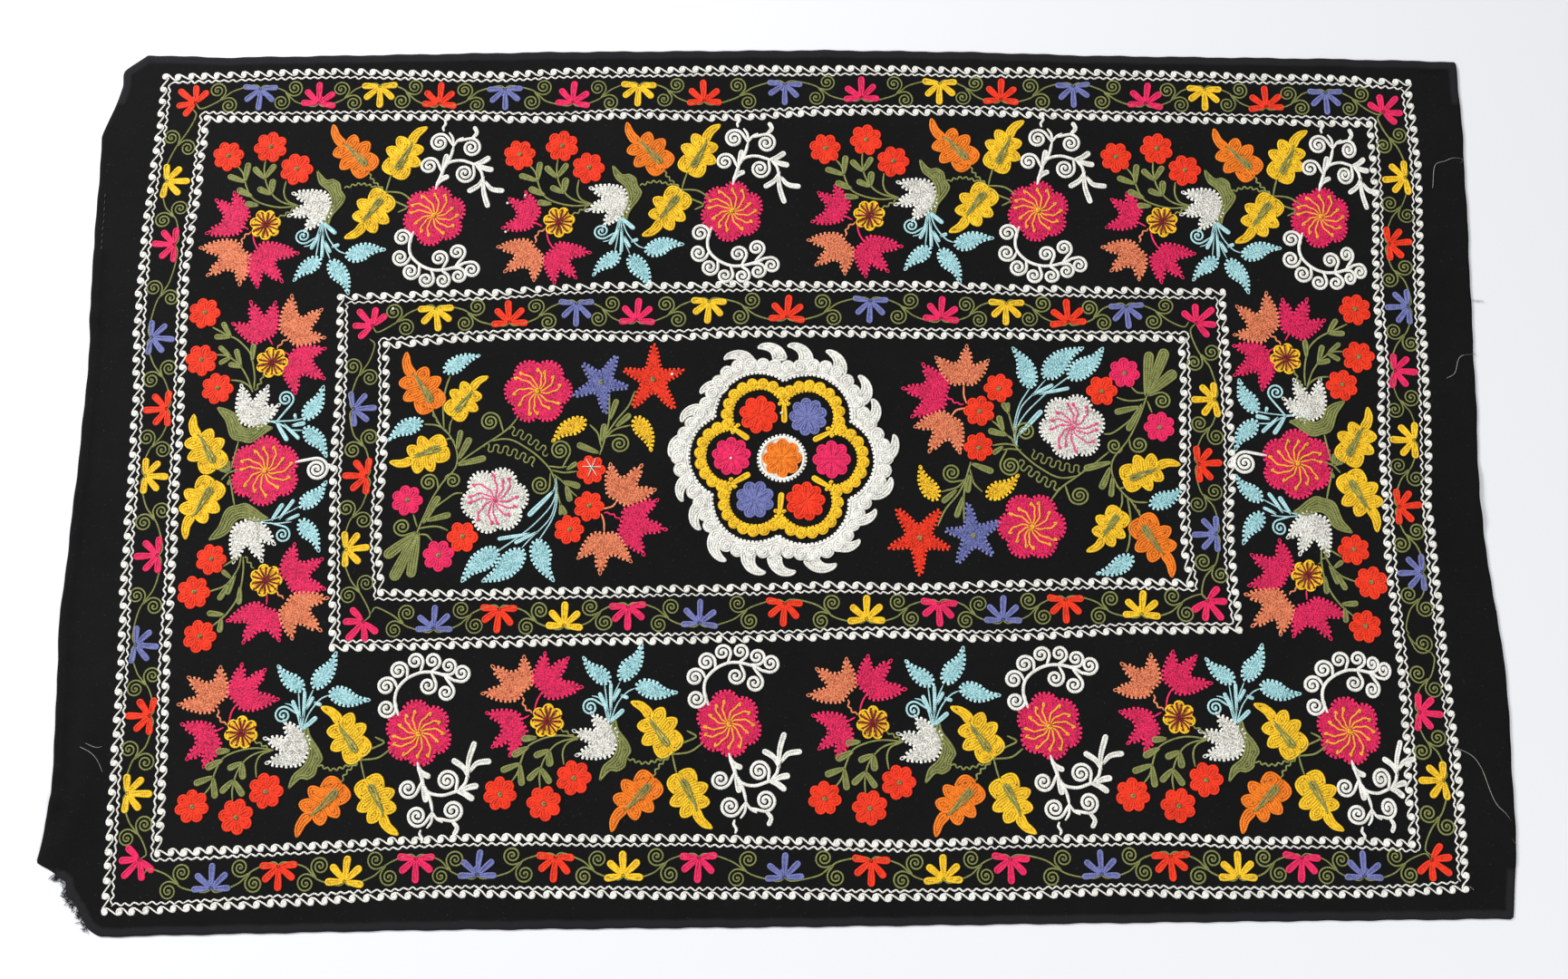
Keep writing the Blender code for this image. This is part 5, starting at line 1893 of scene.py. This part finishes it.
# %% Cotton
def cotton_finish():
    """Black cotton with lint, a soft bloom and selvedges painted greyer for their sheen."""
    f = Finish("black_cotton_cloth")
    patches = f.noise(5, 4, 0.6)
    cloud = f.noise(34, 4, 0.6)
    specks = ((f.noise(330, 1) - 0.70) * 9).within()
    weave = f.noise(1300, 1)
    base = f.blend((patches * 0.9 + cloud * 0.5 - 0.35).within(), colour("080808"), colour("131314"))
    # The selvedges are painted greyer, as the sheen of their weave.
    selvedge_sheen = f.blend(f.mark("selvedge") * 0.6, base, colour("262628"))
    linted = f.blend(specks * 0.06, selvedge_sheen, colour("8c8a88"))
    f.set(Base_Color=linted, Roughness=0.95, Sheen_Weight=0.02, Sheen_Roughness=0.5,
          Specular_IOR_Level=0.12, Normal=f.bump(weave * 0.5 + cloud * 0.6, RELIEF, 0.7))
    return f.material


cloth.data.materials.append(cotton_finish())
print("the cloth's finish:", cloth.data.materials[0].name)

# %% [markdown]
# ## Joining the frame
# Every piece rides with the cloth's one body. The sheet takes the place of the frame's
# closed solid.

# %% Riding and replacing
pieces = list(embroidery.values())
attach(cloth, "root")
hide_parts("ground_cloth")
for thing in pieces:
    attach(thing, "root")
print("pieces:", 1 + len(pieces))

# %% [markdown]
# ## Floor, light and camera
# The photograph looks down on the cloth from nearly overhead on a pale floor. One lamp
# would give hard shadows, so the world is bright all over, a large soft window stands
# at the upper left and a weaker lamp at the lower right. The camera keeps the
# photograph's angle and distance.

# %% Floor
FLOOR_SIZE = 9
FLOOR_DROP = 0.0004  # the floor lies this little below the cloth
FLOOR_TONE = (0.73, 0.73, 0.745, 1)

bpy.ops.mesh.primitive_plane_add(size=FLOOR_SIZE, location=(0, 0, -FLOOR_DROP))
floor = bpy.context.object
floor.name = "floor"
paper = Finish("pale_floor")
paper.set(Base_Color=FLOOR_TONE, Roughness=0.85, Specular_IOR_Level=0.1)
floor.data.materials.append(paper.material)
print("the floor is", FLOOR_SIZE, "m wide")

# %% Light
WORLD_TONE, WORLD_STRENGTH = (0.95, 0.97, 1.0, 1), 0.5
WINDOW_SPOT, WINDOW_SIZE, WINDOW_POWER = (-4.4, 2.6, 3.0), 1.8, 415
FILL_SPOT, FILL_SIZE, FILL_POWER = (2.4, -3.2, 3.6), 2.6, 115

world = bpy.data.worlds.new("studio")
bpy.context.scene.world = world
world.use_nodes = True
world.node_tree.nodes["Background"].inputs[0].default_value = WORLD_TONE
world.node_tree.nodes["Background"].inputs[1].default_value = WORLD_STRENGTH


def soft_light(name, spot, size, power):
    """A large soft lamp at spot, turned to the cloth's middle."""
    lamp = bpy.data.lights.new(name, "AREA")
    lamp.energy, lamp.size = power, size
    holder = bpy.data.objects.new(name, lamp)
    holder.location = spot
    holder.rotation_euler = (-Vector(spot)).to_track_quat("-Z", "Y").to_euler()
    bpy.context.scene.collection.objects.link(holder)


soft_light("window", WINDOW_SPOT, WINDOW_SIZE, WINDOW_POWER)
soft_light("fill", FILL_SPOT, FILL_SIZE, FILL_POWER)
bpy.context.scene.view_settings.view_transform = "Standard"
print("lamps:", [light.name for light in bpy.data.lights])

# %% Camera
TARGET = Vector((-MIDDLE.real, -MIDDLE.imag, 0)) * MM
CAMERA_BACK, CAMERA_UP = 0.448, 2.370  # metres from the target
SENSOR_WIDTH = 36
HALF_VIEW = 25  # degrees, half of what the camera sees from side to side

camera = bpy.data.objects.new("camera", bpy.data.cameras.new("camera"))
camera.location = TARGET + Vector((0, -CAMERA_BACK, CAMERA_UP))
camera.rotation_euler = (TARGET - camera.location).to_track_quat("-Z", "Y").to_euler()
camera.data.sensor_width = SENSOR_WIDTH
camera.data.lens = SENSOR_WIDTH / (2 * math.tan(math.radians(HALF_VIEW)))
bpy.context.scene.collection.objects.link(camera)
bpy.context.scene.camera = camera
slope = math.degrees(math.atan2(CAMERA_UP, CAMERA_BACK))
print("the camera looks down at", round(slope, 1), "degrees")
